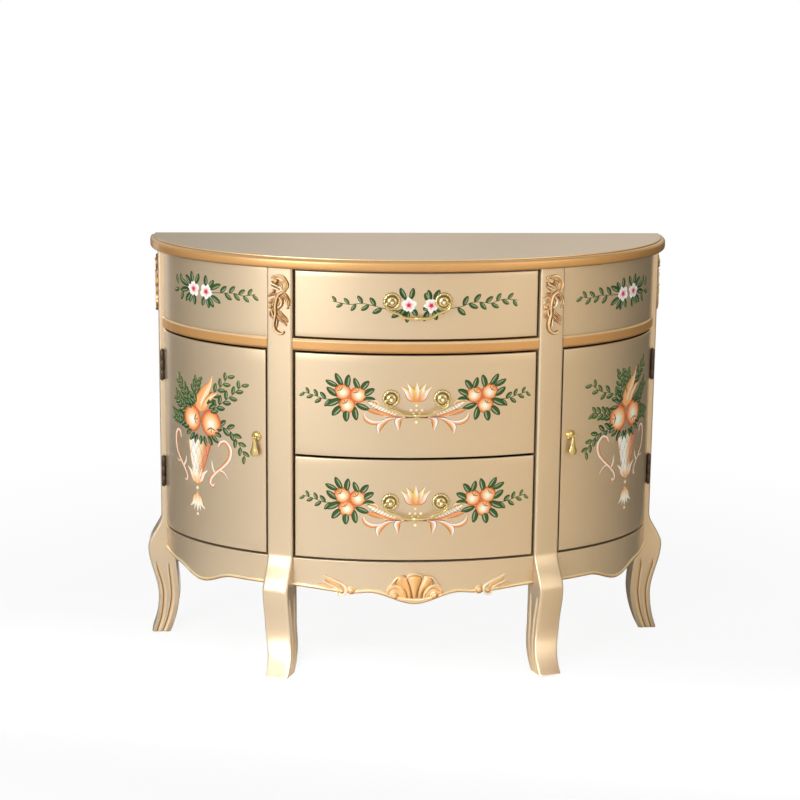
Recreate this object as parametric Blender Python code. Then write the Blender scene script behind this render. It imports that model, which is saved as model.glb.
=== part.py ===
"""Demilune cabinet with three bowed drawers, two curved doors and four cabriole legs.

Every piece of the front follows one half ellipse, seen from above. Places on it are given by an
angle: 0 degrees at the right end, 90 at the middle of the front and 180 at the left end.
Units are metres, +Z is up, the front faces -Y and the back is flat.
"""
from math import acos, asin, ceil, cos, degrees, hypot, pi, radians, sin, sqrt

import bmesh
import bpy
from mathutils import Matrix, Vector

# Plan of the cabinet
front_half_width = 0.519
front_depth = 0.325
back_setback = 0.0175
fit_gap = 0.0003
facet_angle = 3.4

# Top board
height = 0.860
top_thickness = 0.024
top_overhang = 0.022
top_step_width = 0.009
top_step_height = 0.003
top_round = 0.006

# Front, from the bottom up
apron_top = 0.2395
reveal = 0.004
deep_drawer_share = 0.3792
rail_height = 0.024
rail_thickness = 0.020
rail_proud = 0.0025
drawer_half_width = 0.242
front_thickness = 0.019
front_edge_round = 0.0025
door_thickness = 0.018
frieze_thickness = 0.015

# Aprons and their scallops
apron_thickness = 0.018
apron_drop = 0.060
apron_end_dip = 0.008
apron_pendant = 0.0285
apron_pendant_reach = 0.100
side_apron_drop = 0.060
side_apron_pendant = 0.021
side_pendant_place_share = 0.53
side_pendant_width_share = 0.50
side_apron_rise = 0.010
side_rise_share = 0.35
bead_radius = 0.0022

# Legs
stile_width = 0.055
back_stile_width = 0.064
stile_depth = 0.048
stile_proud = 0.006
stile_round = 0.005
front_knee_height = 0.170
front_knee_top = 0.234
back_knee_height = 0.190
back_knee_top = 0.262
ankle_height = 0.083
front_knee_out = 0.036
front_ankle_out = 0.022
front_toe_out = 0.064
back_knee_out = 0.035
back_ankle_out = 0.014
back_toe_out = 0.030
knee_depth = 0.058
ankle_depth = 0.045
toe_depth = 0.040
front_toe_in = 0.0135
toe_in_top = 0.095
front_foot_narrowing = 0.004
flute_width = 0.007
flute_sink = 0.002
flute_lean_share = 0.25
flute_inset = 0.014
flute_top = 0.158
flute_fade = 0.014

# Carcass boards
back_thickness = 0.006
bottom_thickness = 0.015
divider_thickness = 0.015
runner_width = 0.018
runner_height = 0.012

# Drawer boxes
side_thickness = 0.012
side_play = 0.003
side_lift = 0.013
deep_side_clearance = 0.0465
top_side_clearance = 0.0305
drawer_back_clearance = 0.016
panel_thickness = 0.006
groove_depth = 0.005
groove_lift = 0.009

# Door hinges
hinge_height = 0.063
hinge_radius = 0.0040
hinge_pin_radius = 0.0018
hinge_leaf_thickness = 0.0011
hinge_leaf_width = 0.016
hinge_edge_gap = 0.0031
upper_hinge_inset = 0.076
lower_hinge_inset = 0.117

# Drawer handles
rosette_radius = 0.0175
rosette_height = 0.007
rosette_shares = ((1.0, 0.0), (1.0, 0.25), (0.80, 0.62), (0.58, 0.55), (0.42, 1.0))
handle_spread = 0.102
post_radius = 0.0046
post_reach = 0.017
bail_stand_off = 0.0125
bail_radius = 0.0024
bail_pin_radius = 0.0016
bail_drop = 0.032
bail_shoulder = 0.010
bail_shares = ((0.38, 0.72), (0.28, 0.92), (0.14, 1.0), (0.0, 1.0))
deep_handle_rise = 0.018
top_handle_rise = 0.0105

# Door pulls
pull_edge_inset = 0.021
pull_height = 0.487
pull_radius = 0.011
pull_dome_height = 0.006
pull_cheek = 0.0025
pull_cheek_gap = 0.0052
pull_stand_off = 0.0105
pull_eye_radius = 0.0036
pull_pin_radius = 0.0013
drop_length = 0.040
drop_width = 0.018
drop_thickness = 0.008
pear_shares = ((0.30, 0.47), (0.55, 0.62), (0.78, 1.0), (0.93, 0.86), (1.0, 0.35))

# Carved mounts. A stroke is a list of (across, up, half width) shares of the mount's size.
stroke_section_shares = ((-1.0, 0.0), (-0.8, 0.6), (0.0, 1.0), (0.8, 0.6), (1.0, 0.0))
boss_shares = ((1.0, 0.0), (0.95, 0.5), (0.6, 0.9), (0.0, 1.0))
mount_height = 0.122
mount_width = 0.046
mount_relief = 0.006
mount_top_gap = 0.0155
side_mount_width = 0.036
mount_stroke_shares = (
    ((-0.31, 0.45, 0.04), (-0.08, 0.48, 0.09), (0.17, 0.46, 0.12), (0.33, 0.39, 0.12),
     (0.30, 0.29, 0.10), (0.08, 0.21, 0.06)),
    ((-0.34, 0.37, 0.04), (-0.20, 0.32, 0.10), (-0.02, 0.28, 0.10), (0.16, 0.26, 0.06)),
    ((0.16, 0.29, 0.09), (-0.04, 0.19, 0.13), (-0.12, 0.06, 0.13), (-0.14, -0.09, 0.11),
     (-0.08, -0.18, 0.10), (-0.18, -0.29, 0.11), (-0.17, -0.38, 0.12), (-0.06, -0.45, 0.10),
     (0.10, -0.47, 0.08), (0.25, -0.42, 0.04)),
    ((-0.08, 0.18, 0.06), (-0.28, 0.20, 0.12), (-0.46, 0.14, 0.03)),
    ((-0.08, 0.10, 0.06), (-0.30, 0.06, 0.13), (-0.44, -0.03, 0.04)),
    ((-0.12, -0.04, 0.06), (-0.38, -0.09, 0.07), (-0.40, -0.17, 0.06), (-0.14, -0.20, 0.04)),
    ((-0.04, 0.14, 0.06), (0.20, 0.17, 0.13), (0.38, 0.10, 0.12), (0.45, -0.01, 0.03)),
    ((-0.08, -0.08, 0.07), (0.14, -0.14, 0.14), (0.31, -0.22, 0.12), (0.38, -0.30, 0.03)),
    ((-0.05, -0.17, 0.06), (0.12, -0.27, 0.09), (0.32, -0.34, 0.03)))
mount_boss_shares = ((-0.09, 0.42, 0.16), (0.02, -0.02, 0.09), (-0.38, -0.03, 0.09))

# Carved shell, as the mounts, with the lobes of its right half first
shell_height = 0.063
shell_width = 0.114
shell_relief = 0.009
shell_lift = 0.007
shell_middle_shares = ((0.0, -0.40, 0.030), (0.0, -0.05, 0.045), (0.0, 0.30, 0.078), (0.0, 0.46, 0.050))
shell_lobe_shares = (
    ((0.06, -0.40, 0.028), (0.11, -0.05, 0.045), (0.20, 0.22, 0.070), (0.28, 0.34, 0.040)),
    ((0.13, -0.40, 0.025), (0.19, -0.10, 0.035), (0.30, 0.08, 0.048), (0.42, 0.06, 0.050),
     (0.475, -0.12, 0.035), (0.47, -0.24, 0.020)))
shell_root_shares = ((-0.35, -0.26, 0.035), (-0.16, -0.37, 0.040), (0.0, -0.41, 0.040),
                     (0.16, -0.37, 0.040), (0.35, -0.26, 0.035))
shell_eye_shares = (0.345, -0.23, 0.080)

# Finishes: colour, roughness and metallic value
champagne = ((0.68, 0.56, 0.42, 1.0), 0.32, 0.55)
gilt = ((0.72, 0.46, 0.18, 1.0), 0.35, 0.75)
brass = ((0.80, 0.62, 0.25, 1.0), 0.18, 1.0)
bronze = ((0.09, 0.07, 0.05, 1.0), 0.45, 0.8)
bare_wood = ((0.60, 0.45, 0.29, 1.0), 0.65, 0.0)
back_board = ((0.42, 0.32, 0.21, 1.0), 0.75, 0.0)

# Heights worked out from the stack
top_underside = height - top_thickness
drawers_height = top_underside - apron_top - rail_height - 5 * reveal
deep_drawer_height = deep_drawer_share * drawers_height
top_drawer_height = drawers_height - 2 * deep_drawer_height
lower_drawer_base = apron_top + reveal
middle_drawer_base = lower_drawer_base + deep_drawer_height + reveal
rail_base = middle_drawer_base + deep_drawer_height + reveal
top_drawer_base = rail_base + rail_height + reveal
door_top = rail_base - reveal
deep_side_height = deep_drawer_height - side_lift - deep_side_clearance
top_side_height = top_drawer_height - side_lift - top_side_clearance
back_y = back_setback
back_leg_front_y = back_y - back_stile_width


def start_scene():
    """Remove every object of the open scene."""
    for thing in list(bpy.data.objects):
        bpy.data.objects.remove(thing, do_unlink=True)


def plan_normal(angle):
    """Outward unit vector of the half ellipse at an angle."""
    turn = radians(angle)
    x, y = front_depth * cos(turn), -front_half_width * sin(turn)
    return Vector((x, y, 0.0)).normalized()


def plan_point(angle, offset=0.0, direction=None):
    """Point at an angle of the half ellipse, moved by an offset along its normal or a direction."""
    turn = radians(angle)
    point = Vector((front_half_width * cos(turn), -front_depth * sin(turn), 0.0))
    return point + offset * (direction or plan_normal(angle))


def turned(angle, length):
    """Angle reached by going a short length along the half ellipse, towards the left end."""
    turn = radians(angle)
    speed = hypot(front_half_width * sin(turn), front_depth * cos(turn))
    return angle + degrees(length / speed)


def angle_where(passed, offset=0.0):
    """Angle on the right half, going forward from the back, where a test of the point turns true."""
    low, high = 0.0, 90.0
    while high - low > 1e-7:
        middle = (low + high) / 2
        if passed(plan_point(middle, offset)):
            high = middle
        else:
            low = middle
    return high


def angle_at_x(x, offset=0.0):
    """Angle of the point of the offset curve at a given x of the right half."""
    return angle_where(lambda point: point.x <= x, offset)


def spaced(start, end, count):
    """Evenly spaced values from start to end, with both ends."""
    return [start + (end - start) * step / count for step in range(count + 1)]


def ease(start, end, share):
    """Smooth step from start to end."""
    share = min(max(share, 0.0), 1.0)
    return start + (end - start) * share * share * (3 - 2 * share)


# Angles of the joints between the pieces of the front, on the right half
drawer_edge = degrees(acos(drawer_half_width / front_half_width))
leg_drawer_side = turned(drawer_edge, -reveal)
leg_door_side = turned(leg_drawer_side, -stile_width)
door_edge = turned(leg_door_side, -reveal)
back_leg_side = degrees(asin(-back_leg_front_y / front_depth))
door_hinge_edge = turned(back_leg_side, hinge_edge_gap)

leg_chord = plan_point(leg_door_side) - plan_point(leg_drawer_side)
leg_across = leg_chord.normalized()
leg_out = Vector((leg_across.y, -leg_across.x, 0.0))
leg_middle = (plan_point(leg_drawer_side) + plan_point(leg_door_side)) / 2
leg_width = leg_chord.length
sideways = Vector((1.0, 0.0, 0.0))
backwards = Vector((0.0, 1.0, 0.0))


def mirrored(point, side):
    """The point itself on the right side, and its mirror image on the left side."""
    return Vector((point[0] * side, point[1], point[2]))


def dress(thing, finish):
    """Give an object a material of its own with the finish's colour, roughness and metal."""
    colour, roughness, metallic = finish
    material = bpy.data.materials.new(thing.name)
    material.use_nodes = True
    shader = material.node_tree.nodes["Principled BSDF"]
    shader.inputs["Base Color"].default_value = colour
    shader.inputs["Roughness"].default_value = roughness
    shader.inputs["Metallic"].default_value = metallic
    thing.data.materials.append(material)


def place(name, shape, finish, carrier=None, pivot=None, smooth=None):
    """Make an object of a bmesh in world coordinates, with its origin on its pivot."""
    origin = Vector(pivot) if pivot else Vector()
    base = carrier.location if carrier else Vector()
    if not pivot and carrier:
        origin = base.copy()
    bmesh.ops.translate(shape, verts=shape.verts, vec=-origin)
    mesh = bpy.data.meshes.new(name)
    shape.to_mesh(mesh)
    shape.free()
    if smooth:
        mesh.shade_smooth()
        mesh.set_sharp_from_angle(angle=radians(smooth))
    thing = bpy.data.objects.new(name, mesh)
    bpy.context.scene.collection.objects.link(thing)
    thing.location = origin - base
    thing.parent = carrier
    dress(thing, finish)
    return thing


def carrier_at(name, point=(0.0, 0.0, 0.0)):
    """Empty that the pieces of one moving body hang on, placed on its joint."""
    empty = bpy.data.objects.new(name, None)
    bpy.context.scene.collection.objects.link(empty)
    empty.location = point
    return empty


def faced_outwards(shape):
    """Turn a consistent closed mesh so that its faces point out."""
    if shape.calc_volume(signed=True) < 0:
        bmesh.ops.reverse_faces(shape, faces=shape.faces)
    return shape


def lofted(loops):
    """Closed solid through a list of closed loops with the same number of points."""
    shape = bmesh.new()
    rings = [[shape.verts.new(point) for point in loop] for loop in loops]
    count = len(rings[0])
    for ring, following in zip(rings, rings[1:]):
        for step in range(count):
            after = (step + 1) % count
            shape.faces.new((ring[step], ring[after], following[after], following[step]))
    shape.faces.new(rings[0][::-1])
    shape.faces.new(rings[-1])
    return faced_outwards(shape)


def prism(outline, low, high):
    """Upright solid over a plan outline."""
    return lofted([[Vector((point[0], point[1], level)) for point in outline] for level in (low, high)])


def swept(angles, profile, start_direction=None, end_direction=None):
    """Solid whose profile of (offset, height) pairs runs along the half ellipse.

    profile is a function of the angle. Its ends lie in the plane of the given directions, so that
    they stand parallel to the side of a leg.
    """
    loops = []
    for place_number, angle in enumerate(angles):
        direction = None
        if place_number == 0:
            direction = start_direction
        elif place_number == len(angles) - 1:
            direction = end_direction
        loop = []
        for offset, level in profile(angle):
            point = plan_point(angle, offset, direction)
            loop.append(Vector((point.x, point.y, level)))
        loops.append(loop)
    return lofted(loops)


def turned_shape(profile, sides):
    """Solid of revolution about +Z through (radius, height) pairs, from bottom to top."""
    shape = bmesh.new()
    rings = []
    for radius, level in profile:
        if radius == 0:
            rings.append([shape.verts.new((0.0, 0.0, level))])
            continue
        ring = []
        for step in range(sides):
            turn = 2 * pi * step / sides
            ring.append(shape.verts.new((radius * cos(turn), radius * sin(turn), level)))
        rings.append(ring)
    for ring, following in zip(rings, rings[1:]):
        for step in range(sides):
            after = (step + 1) % sides
            corners = [ring[step % len(ring)], ring[after % len(ring)]]
            corners += [following[after % len(following)], following[step % len(following)]]
            shape.faces.new(list(dict.fromkeys(corners)))
    if len(rings[0]) > 1:
        shape.faces.new(rings[0][::-1])
    if len(rings[-1]) > 1:
        shape.faces.new(rings[-1])
    return faced_outwards(shape)


def block(low, high):
    """Box between two corners."""
    outline = [(low[0], low[1]), (high[0], low[1]), (high[0], high[1]), (low[0], high[1])]
    return prism(outline, low[2], high[2])


def combined(base, others, operation="UNION"):
    """Join closed solids into one, or cut the others away from the first."""
    scratch = []
    for number, shape in enumerate([base] + others):
        mesh = bpy.data.meshes.new("scratch")
        shape.to_mesh(mesh)
        shape.free()
        thing = bpy.data.objects.new(f"scratch_{number}", mesh)
        bpy.context.scene.collection.objects.link(thing)
        scratch.append(thing)
    body = scratch[0]
    for other in scratch[1:]:
        modifier = body.modifiers.new("combine", "BOOLEAN")
        modifier.operation = operation
        modifier.solver = "EXACT"
        modifier.use_self = True
        modifier.object = other
    graph = bpy.context.evaluated_depsgraph_get()
    result = bmesh.new()
    result.from_mesh(body.evaluated_get(graph).to_mesh())
    for thing in scratch:
        bpy.data.objects.remove(thing, do_unlink=True)
    bmesh.ops.remove_doubles(result, verts=result.verts, dist=fit_gap / 30)
    return result


def moved(shape, matrix):
    """The same solid, moved and turned."""
    bmesh.ops.transform(shape, matrix=matrix, verts=shape.verts)
    if matrix.determinant() < 0:
        bmesh.ops.reverse_faces(shape, faces=shape.faces)
    return shape


def facing(point, outward, side=1):
    """Matrix from a flat ornament's own axes to a place on the cabinet.

    The ornament's x runs across, its y up and its z outwards. On the left side it is mirrored.
    """
    out = Vector(outward).normalized()
    up = Vector((0.0, 0.0, 1.0))
    across = up.cross(out).normalized()
    columns = Matrix((across * side, up, out)).transposed().to_4x4()
    return Matrix.Translation(point) @ columns


def wrapped_on_front(shape, level):
    """Wrap a flat ornament round the middle of the front: its z becomes the distance from the face."""
    for vert in shape.verts:
        x, y, z = vert.co
        face = plan_point(angle_at_x(abs(x)), fit_gap + z)
        vert.co = (face.x if x > 0 else -face.x, face.y, level + y)
    return faced_outwards(shape)


def seated_on_front(shape, plane_y):
    """Lay the back of a fitting, which stands in a plane, on the curve of the front."""
    for vert in shape.verts:
        if vert.co.y > plane_y - fit_gap / 2:
            vert.co.y = plan_point(angle_at_x(abs(vert.co.x)), fit_gap).y
    return shape


def rounded_profile(inner, outer, low, high, radius):
    """Panel section with its two outer edges rounded, as (offset, height) pairs."""
    sag = radius * (1 - sqrt(0.5))
    return [(inner, low), (outer - radius, low), (outer - sag, low + sag), (outer, low + radius),
            (outer, high - radius), (outer - sag, high - sag), (outer - radius, high), (inner, high)]


# Top board


def build_top_board():
    """Half-round board with a stepped and rounded edge, flat along the back."""
    edge = [(-top_round, top_underside)]
    for turn in spaced(-90, 0, 3)[1:]:
        lift = top_round * (1 + sin(radians(turn)))
        edge.append((-top_round * (1 - cos(radians(turn))), top_underside + lift))
    shoulder = height - top_step_height
    for turn in spaced(0, 90, 3):
        drop = top_round * (1 - sin(radians(turn)))
        edge.append((-top_round * (1 - cos(radians(turn))), shoulder - drop))
    edge.append((-top_step_width, shoulder))
    edge.append((-top_step_width, height))
    loops = []
    for inset, level in edge:
        offset = top_overhang + inset
        end = front_half_width + offset
        loop = [Vector((end, back_y, level))]
        for angle in spaced(0, 180, 48):
            point = plan_point(angle, offset)
            loop.append(Vector((point.x, point.y, level)))
        loop.append(Vector((-end, back_y, level)))
        loops.append(loop)
    place("top_board", lofted(loops), champagne, smooth=35)


# Legs


def leg_station(level, knee, outs):
    """Outward shift and depth of a leg's section at a height.

    knee holds the height of the knee and of its upper end, and outs how far the knee, the ankle
    and the toe stand out.
    """
    knee_height, knee_top = knee
    knee_out, ankle_out, toe_out = outs
    if level >= knee_top:
        return stile_proud, stile_depth
    if level >= knee_height:
        share = (level - knee_height) / (knee_top - knee_height)
        return ease(knee_out, stile_proud, share), ease(knee_depth, stile_depth, share)
    if level >= ankle_height:
        share = (level - ankle_height) / (knee_height - ankle_height)
        return ease(ankle_out, knee_out, share), ease(ankle_depth, knee_depth, share)
    share = 1 - level / ankle_height
    return ankle_out + (toe_out - ankle_out) * share ** 2, ankle_depth + (toe_depth - ankle_depth) * share


def leg_section(half_width, depth, sink):
    """Leg section as (across, out) pairs, with a rounded face and two flutes on each side."""
    corner = []
    for turn in spaced(0, 90, 3):
        corner.append((half_width - stile_round * (1 - cos(radians(turn))),
                       -stile_round * (1 - sin(radians(turn)))))
    flutes = []
    for centre in (-flute_inset, flute_inset - depth):
        flutes += [(half_width, centre + flute_width / 2),
                   (half_width - sink, centre + flute_width * flute_lean_share),
                   (half_width, centre - flute_width / 2)]
    right = corner[::-1] + flutes + [(half_width, -depth)]
    left = [(-across, out) for across, out in right[::-1]]
    return right + left


def leg_levels(knee_top):
    """Heights of a leg's sections, closer together where it bends and where the flutes end."""
    levels = spaced(0.0, ankle_height, 4)
    levels += spaced(ankle_height, flute_top - flute_fade, 4)[1:]
    levels += [flute_top]
    levels += spaced(flute_top, knee_top, 6)[1:]
    return levels + [top_underside - fit_gap]


def build_leg(name, middle, across, out, width, knee, outs, toe_in, narrowing):
    """Cabriole leg and the stile above it, in one piece from the floor to the top board."""
    loops = []
    for level in leg_levels(knee[1]):
        shift, depth = leg_station(level, knee, outs)
        sink = flute_sink * ease(1.0, 0.0, (level - flute_top + flute_fade) / flute_fade)
        base = middle + out * shift - across * toe_in * ease(1.0, 0.0, level / toe_in_top)
        half_width = (width - narrowing * ease(1.0, 0.0, level / ankle_height)) / 2
        loop = []
        for over, back in leg_section(half_width, depth, sink):
            point = base + across * over + out * back
            loop.append(Vector((point.x, point.y, level)))
        loops.append(loop)
    place(name, lofted(loops), champagne, smooth=35)


def build_legs():
    """Two front legs square to the curve and two back legs facing sideways."""
    for side, label in ((-1, "left"), (1, "right")):
        build_leg(f"front_leg_{label}", mirrored(leg_middle, side), mirrored(leg_across, side),
                  mirrored(leg_out, side), leg_width, (front_knee_height, front_knee_top),
                  (front_knee_out, front_ankle_out, front_toe_out), front_toe_in, front_foot_narrowing)
        middle = Vector((front_half_width * side, back_y - back_stile_width / 2, 0.0))
        build_leg(f"back_leg_{label}", middle, backwards, sideways * side,
                  back_stile_width, (back_knee_height, back_knee_top),
                  (back_knee_out, back_ankle_out, back_toe_out), 0.0, 0.0)


# Carcass boards


def leg_back_y(x):
    """Y of the plane of a front leg's back face at a given x of the right half."""
    corner = plan_point(leg_drawer_side) - leg_out * (stile_depth - stile_proud)
    return corner.y + (x - corner.x) * leg_across.y / leg_across.x


divider_inner_x = (plan_point(leg_drawer_side) - leg_out * (stile_depth - stile_proud)).x
back_panel_y = back_y - back_thickness


def build_back_panel():
    """Thin panel between the two back legs."""
    reach = front_half_width + stile_proud - stile_depth - fit_gap
    low = (-reach, back_panel_y, apron_top - bottom_thickness)
    high = (reach, back_y, top_underside - fit_gap)
    place("back_panel", block(low, high), back_board)


def bottom_outline(side):
    """Right or left half of the bottom board's outline, from the middle of the front to the back."""
    inset = -apron_thickness - fit_gap
    clear = leg_across * fit_gap
    near = plan_point(leg_drawer_side) - clear
    far = plan_point(leg_door_side) + clear
    depth = stile_depth - stile_proud + fit_gap
    points = [plan_point(angle, inset) for angle in spaced(90, drawer_edge, 10)]
    points += [near + leg_out * inset, near - leg_out * depth, far - leg_out * depth]
    points += [far + leg_out * inset]
    side_y = back_leg_front_y - fit_gap
    end = angle_where(lambda point: point.y <= side_y, inset)
    points += [plan_point(angle, inset) for angle in spaced(door_edge, end, 14)]
    inner_x = front_half_width + stile_proud - stile_depth - fit_gap
    points += [Vector((inner_x, side_y, 0.0))]
    points += [Vector((inner_x, back_panel_y - fit_gap, 0.0))]
    return [mirrored(point, side) for point in points]


def build_bottom_board():
    """Bottom of the cupboards, notched round the legs and set inside the aprons."""
    outline = bottom_outline(1) + bottom_outline(-1)[:0:-1]
    place("bottom_board", prism(outline, apron_top - bottom_thickness, apron_top), bare_wood)


def build_dividers():
    """Upright partitions between the drawers and the cupboards, with the drawers' runners."""
    inner = divider_inner_x
    outer = inner + divider_thickness
    tip = inner - runner_width
    low = apron_top + fit_gap
    high = top_underside - fit_gap
    outline = [(outer, low), (outer, high), (inner, high)]
    for base in (top_drawer_base, middle_drawer_base, lower_drawer_base):
        top = base + side_lift - fit_gap
        outline += [(inner, top), (tip, top), (tip, top - runner_height), (inner, top - runner_height)]
    outline += [(inner, low)]
    for side, label in ((-1, "left"), (1, "right")):
        front = [Vector((x * side, leg_back_y(x) + fit_gap / -leg_out.y, z)) for x, z in outline]
        rear = [Vector((x * side, back_panel_y - fit_gap, z)) for x, z in outline]
        place(f"divider_{label}", lofted([front, rear]), bare_wood)


# Fixed pieces of the front


def stretch(start, end):
    """Angles along a stretch of the curve, one for each facet and one more."""
    return spaced(start, end, max(2, ceil(abs(end - start) / facet_angle)))


def leg_side_directions(start_side, start_leg, end_side, end_leg):
    """End directions that stand parallel to the sides of two legs."""
    directions = {"front": leg_out, "back": sideways}
    return mirrored(directions[start_leg], start_side), mirrored(directions[end_leg], end_side)


def side_stretch(side, front_gap, back_gap):
    """Angles and end directions between a front and a back leg, on one side."""
    front_end = turned(leg_door_side, -front_gap)
    back_end = turned(back_leg_side, back_gap)
    directions = leg_side_directions(side, "back", side, "front")
    if side < 0:
        return stretch(180 - front_end, 180 - back_end), directions[::-1]
    return stretch(back_end, front_end), directions


def middle_stretch(gap):
    """Angles and end directions between the two front legs."""
    end = turned(leg_drawer_side, gap)
    return stretch(end, 180 - end), leg_side_directions(1, "front", -1, "front")


def build_rails():
    """Moulded rail under the top drawer and under the side friezes."""
    crown = rail_height / 5

    def profile(_angle):
        return [(-rail_thickness, rail_base), (0.0, rail_base), (rail_proud, rail_base + crown),
                (rail_proud, rail_base + rail_height - crown), (0.0, rail_base + rail_height),
                (-rail_thickness, rail_base + rail_height)]

    angles, ends = middle_stretch(fit_gap)
    place("rail_centre", swept(angles, profile, *ends), gilt, smooth=35)
    for side, label in ((-1, "left"), (1, "right")):
        angles, ends = side_stretch(side, fit_gap, fit_gap)
        place(f"rail_{label}", swept(angles, profile, *ends), gilt, smooth=35)


def build_friezes():
    """Fixed panels beside the top drawer."""
    low = rail_base + rail_height + fit_gap
    high = top_underside - fit_gap
    for side, label in ((-1, "left"), (1, "right")):
        angles, ends = side_stretch(side, fit_gap, fit_gap)
        shape = swept(angles, lambda _angle: [(-frieze_thickness, low), (0.0, low), (0.0, high),
                                              (-frieze_thickness, high)], *ends)
        place(f"frieze_{label}", shape, champagne, smooth=35)


def centre_scallop(angle):
    """Height of the lower edge of the centre apron: two shallow waves and a middle pendant."""
    x = abs(plan_point(angle).x)
    share = min(x / plan_point(leg_drawer_side).x, 1.0)
    wave = apron_end_dip * (1 - cos(2 * pi * share)) / 2 * min(2 * share, 1.0)
    pendant = apron_pendant * (1 + cos(pi * min(x / apron_pendant_reach, 1.0))) / 2
    return apron_top - apron_drop - wave - pendant


def side_scallop(angle):
    """Height of the lower edge of a side apron: one pendant and a rise to the back knee."""
    own = min(angle, 180 - angle)
    share = (own - back_leg_side) / (leg_door_side - back_leg_side)
    turn = pi * (share - side_pendant_place_share) / side_pendant_width_share
    pendant = side_apron_pendant * cos(turn) ** 2 if abs(turn) < pi / 2 else 0.0
    rise = side_apron_rise * ease(1.0, 0.0, share / side_rise_share)
    return apron_top - side_apron_drop - pendant + rise


def apron_profile(low):
    """Apron section with a half-round bead along its lower edge."""
    bead = [(0.0, low)]
    for turn in spaced(-60, 90, 3):
        bead.append((bead_radius * cos(radians(turn)), low + bead_radius * (1 + sin(radians(turn)))))
    return [(-apron_thickness, low)] + bead + [(0.0, apron_top), (-apron_thickness, apron_top)]


def build_aprons():
    """Scalloped boards under the drawers and the doors, beaded along the lower edge."""
    angles, ends = middle_stretch(fit_gap)
    angles = spaced(angles[0], angles[-1], 2 * (len(angles) - 1))
    shape = swept(angles, lambda angle: apron_profile(centre_scallop(angle)), *ends)
    place("apron_centre", shape, champagne, smooth=35)
    for side, label in ((-1, "left"), (1, "right")):
        angles, ends = side_stretch(side, fit_gap, fit_gap)
        shape = swept(angles, lambda angle: apron_profile(side_scallop(angle)), *ends)
        place(f"apron_{label}", shape, champagne, smooth=35)


# Doors


def build_door(side, label, carrier):
    """Curved door with rounded outer edges."""
    directions = leg_side_directions(side, "back", side, "front")
    angles = stretch(door_hinge_edge, door_edge)
    if side < 0:
        angles = [180 - angle for angle in angles[::-1]]
        directions = directions[::-1]

    def profile(_angle):
        return rounded_profile(-door_thickness, 0.0, lower_drawer_base, door_top, front_edge_round)

    place(f"door_{label}", swept(angles, profile, *directions), champagne, carrier, smooth=35)


def hinge_axis(side):
    """Plan point of a door's hinge axis, in the corner of the back leg and the door's face."""
    edge = plan_point(back_leg_side)
    reach = hinge_radius + fit_gap
    return Vector((side * (edge.x + reach), back_leg_front_y - reach, 0.0))


def hinge_leaf(axis, side, low, on_leg, knuckles):
    """One leaf of a butt hinge with its knuckles, as a list of solids.

    Both leaves lie in the narrow joint between the back leg and the door's edge.
    """
    if on_leg:
        near_y = back_leg_front_y - fit_gap - hinge_leaf_thickness
    else:
        near_y = back_leg_front_y - hinge_edge_gap + fit_gap
    far_y = near_y + hinge_leaf_thickness
    root_x = axis.x - side * (hinge_radius + fit_gap)
    inner_x = root_x - side * hinge_leaf_width
    solids = [block((min(inner_x, root_x), near_y, low), (max(inner_x, root_x), far_y, low + hinge_height))]
    for base, top in knuckles:
        solids.append(block((min(inner_x, axis.x), near_y, low + base),
                            (max(inner_x, axis.x), far_y, low + top)))
        barrel = turned_shape([(hinge_radius, low + base), (hinge_radius, low + top)], 12)
        solids.append(moved(barrel, Matrix.Translation((axis.x, axis.y, 0.0))))
    return solids


def build_hinge(side, label, low, door_carrier):
    """Butt hinge: a leaf and pin on the back leg, and a leaf with the middle knuckle on the door."""
    axis = hinge_axis(side)
    third = hinge_height / 3
    outer_knuckles = [(0.0, third - fit_gap), (2 * third + fit_gap, hinge_height)]
    frame = hinge_leaf(axis, side, low, True, outer_knuckles)
    pin = turned_shape([(hinge_pin_radius, low + third / 2), (hinge_pin_radius, low + 5 * third / 2)], 10)
    frame.append(moved(pin, Matrix.Translation((axis.x, axis.y, 0.0))))
    place(f"hinge_leg_leaf_{label}", combined(frame[0], frame[1:]), bronze, smooth=35)
    leaf = hinge_leaf(axis, side, low, False, [(third, 2 * third)])
    solid = combined(leaf[0], leaf[1:])
    bore_radius = hinge_pin_radius + fit_gap
    bore = turned_shape([(bore_radius, low), (bore_radius, low + hinge_height)], 10)
    solid = combined(solid, [moved(bore, Matrix.Translation((axis.x, axis.y, 0.0)))], "DIFFERENCE")
    place(f"hinge_door_leaf_{label}", solid, bronze, door_carrier, smooth=35)


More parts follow.
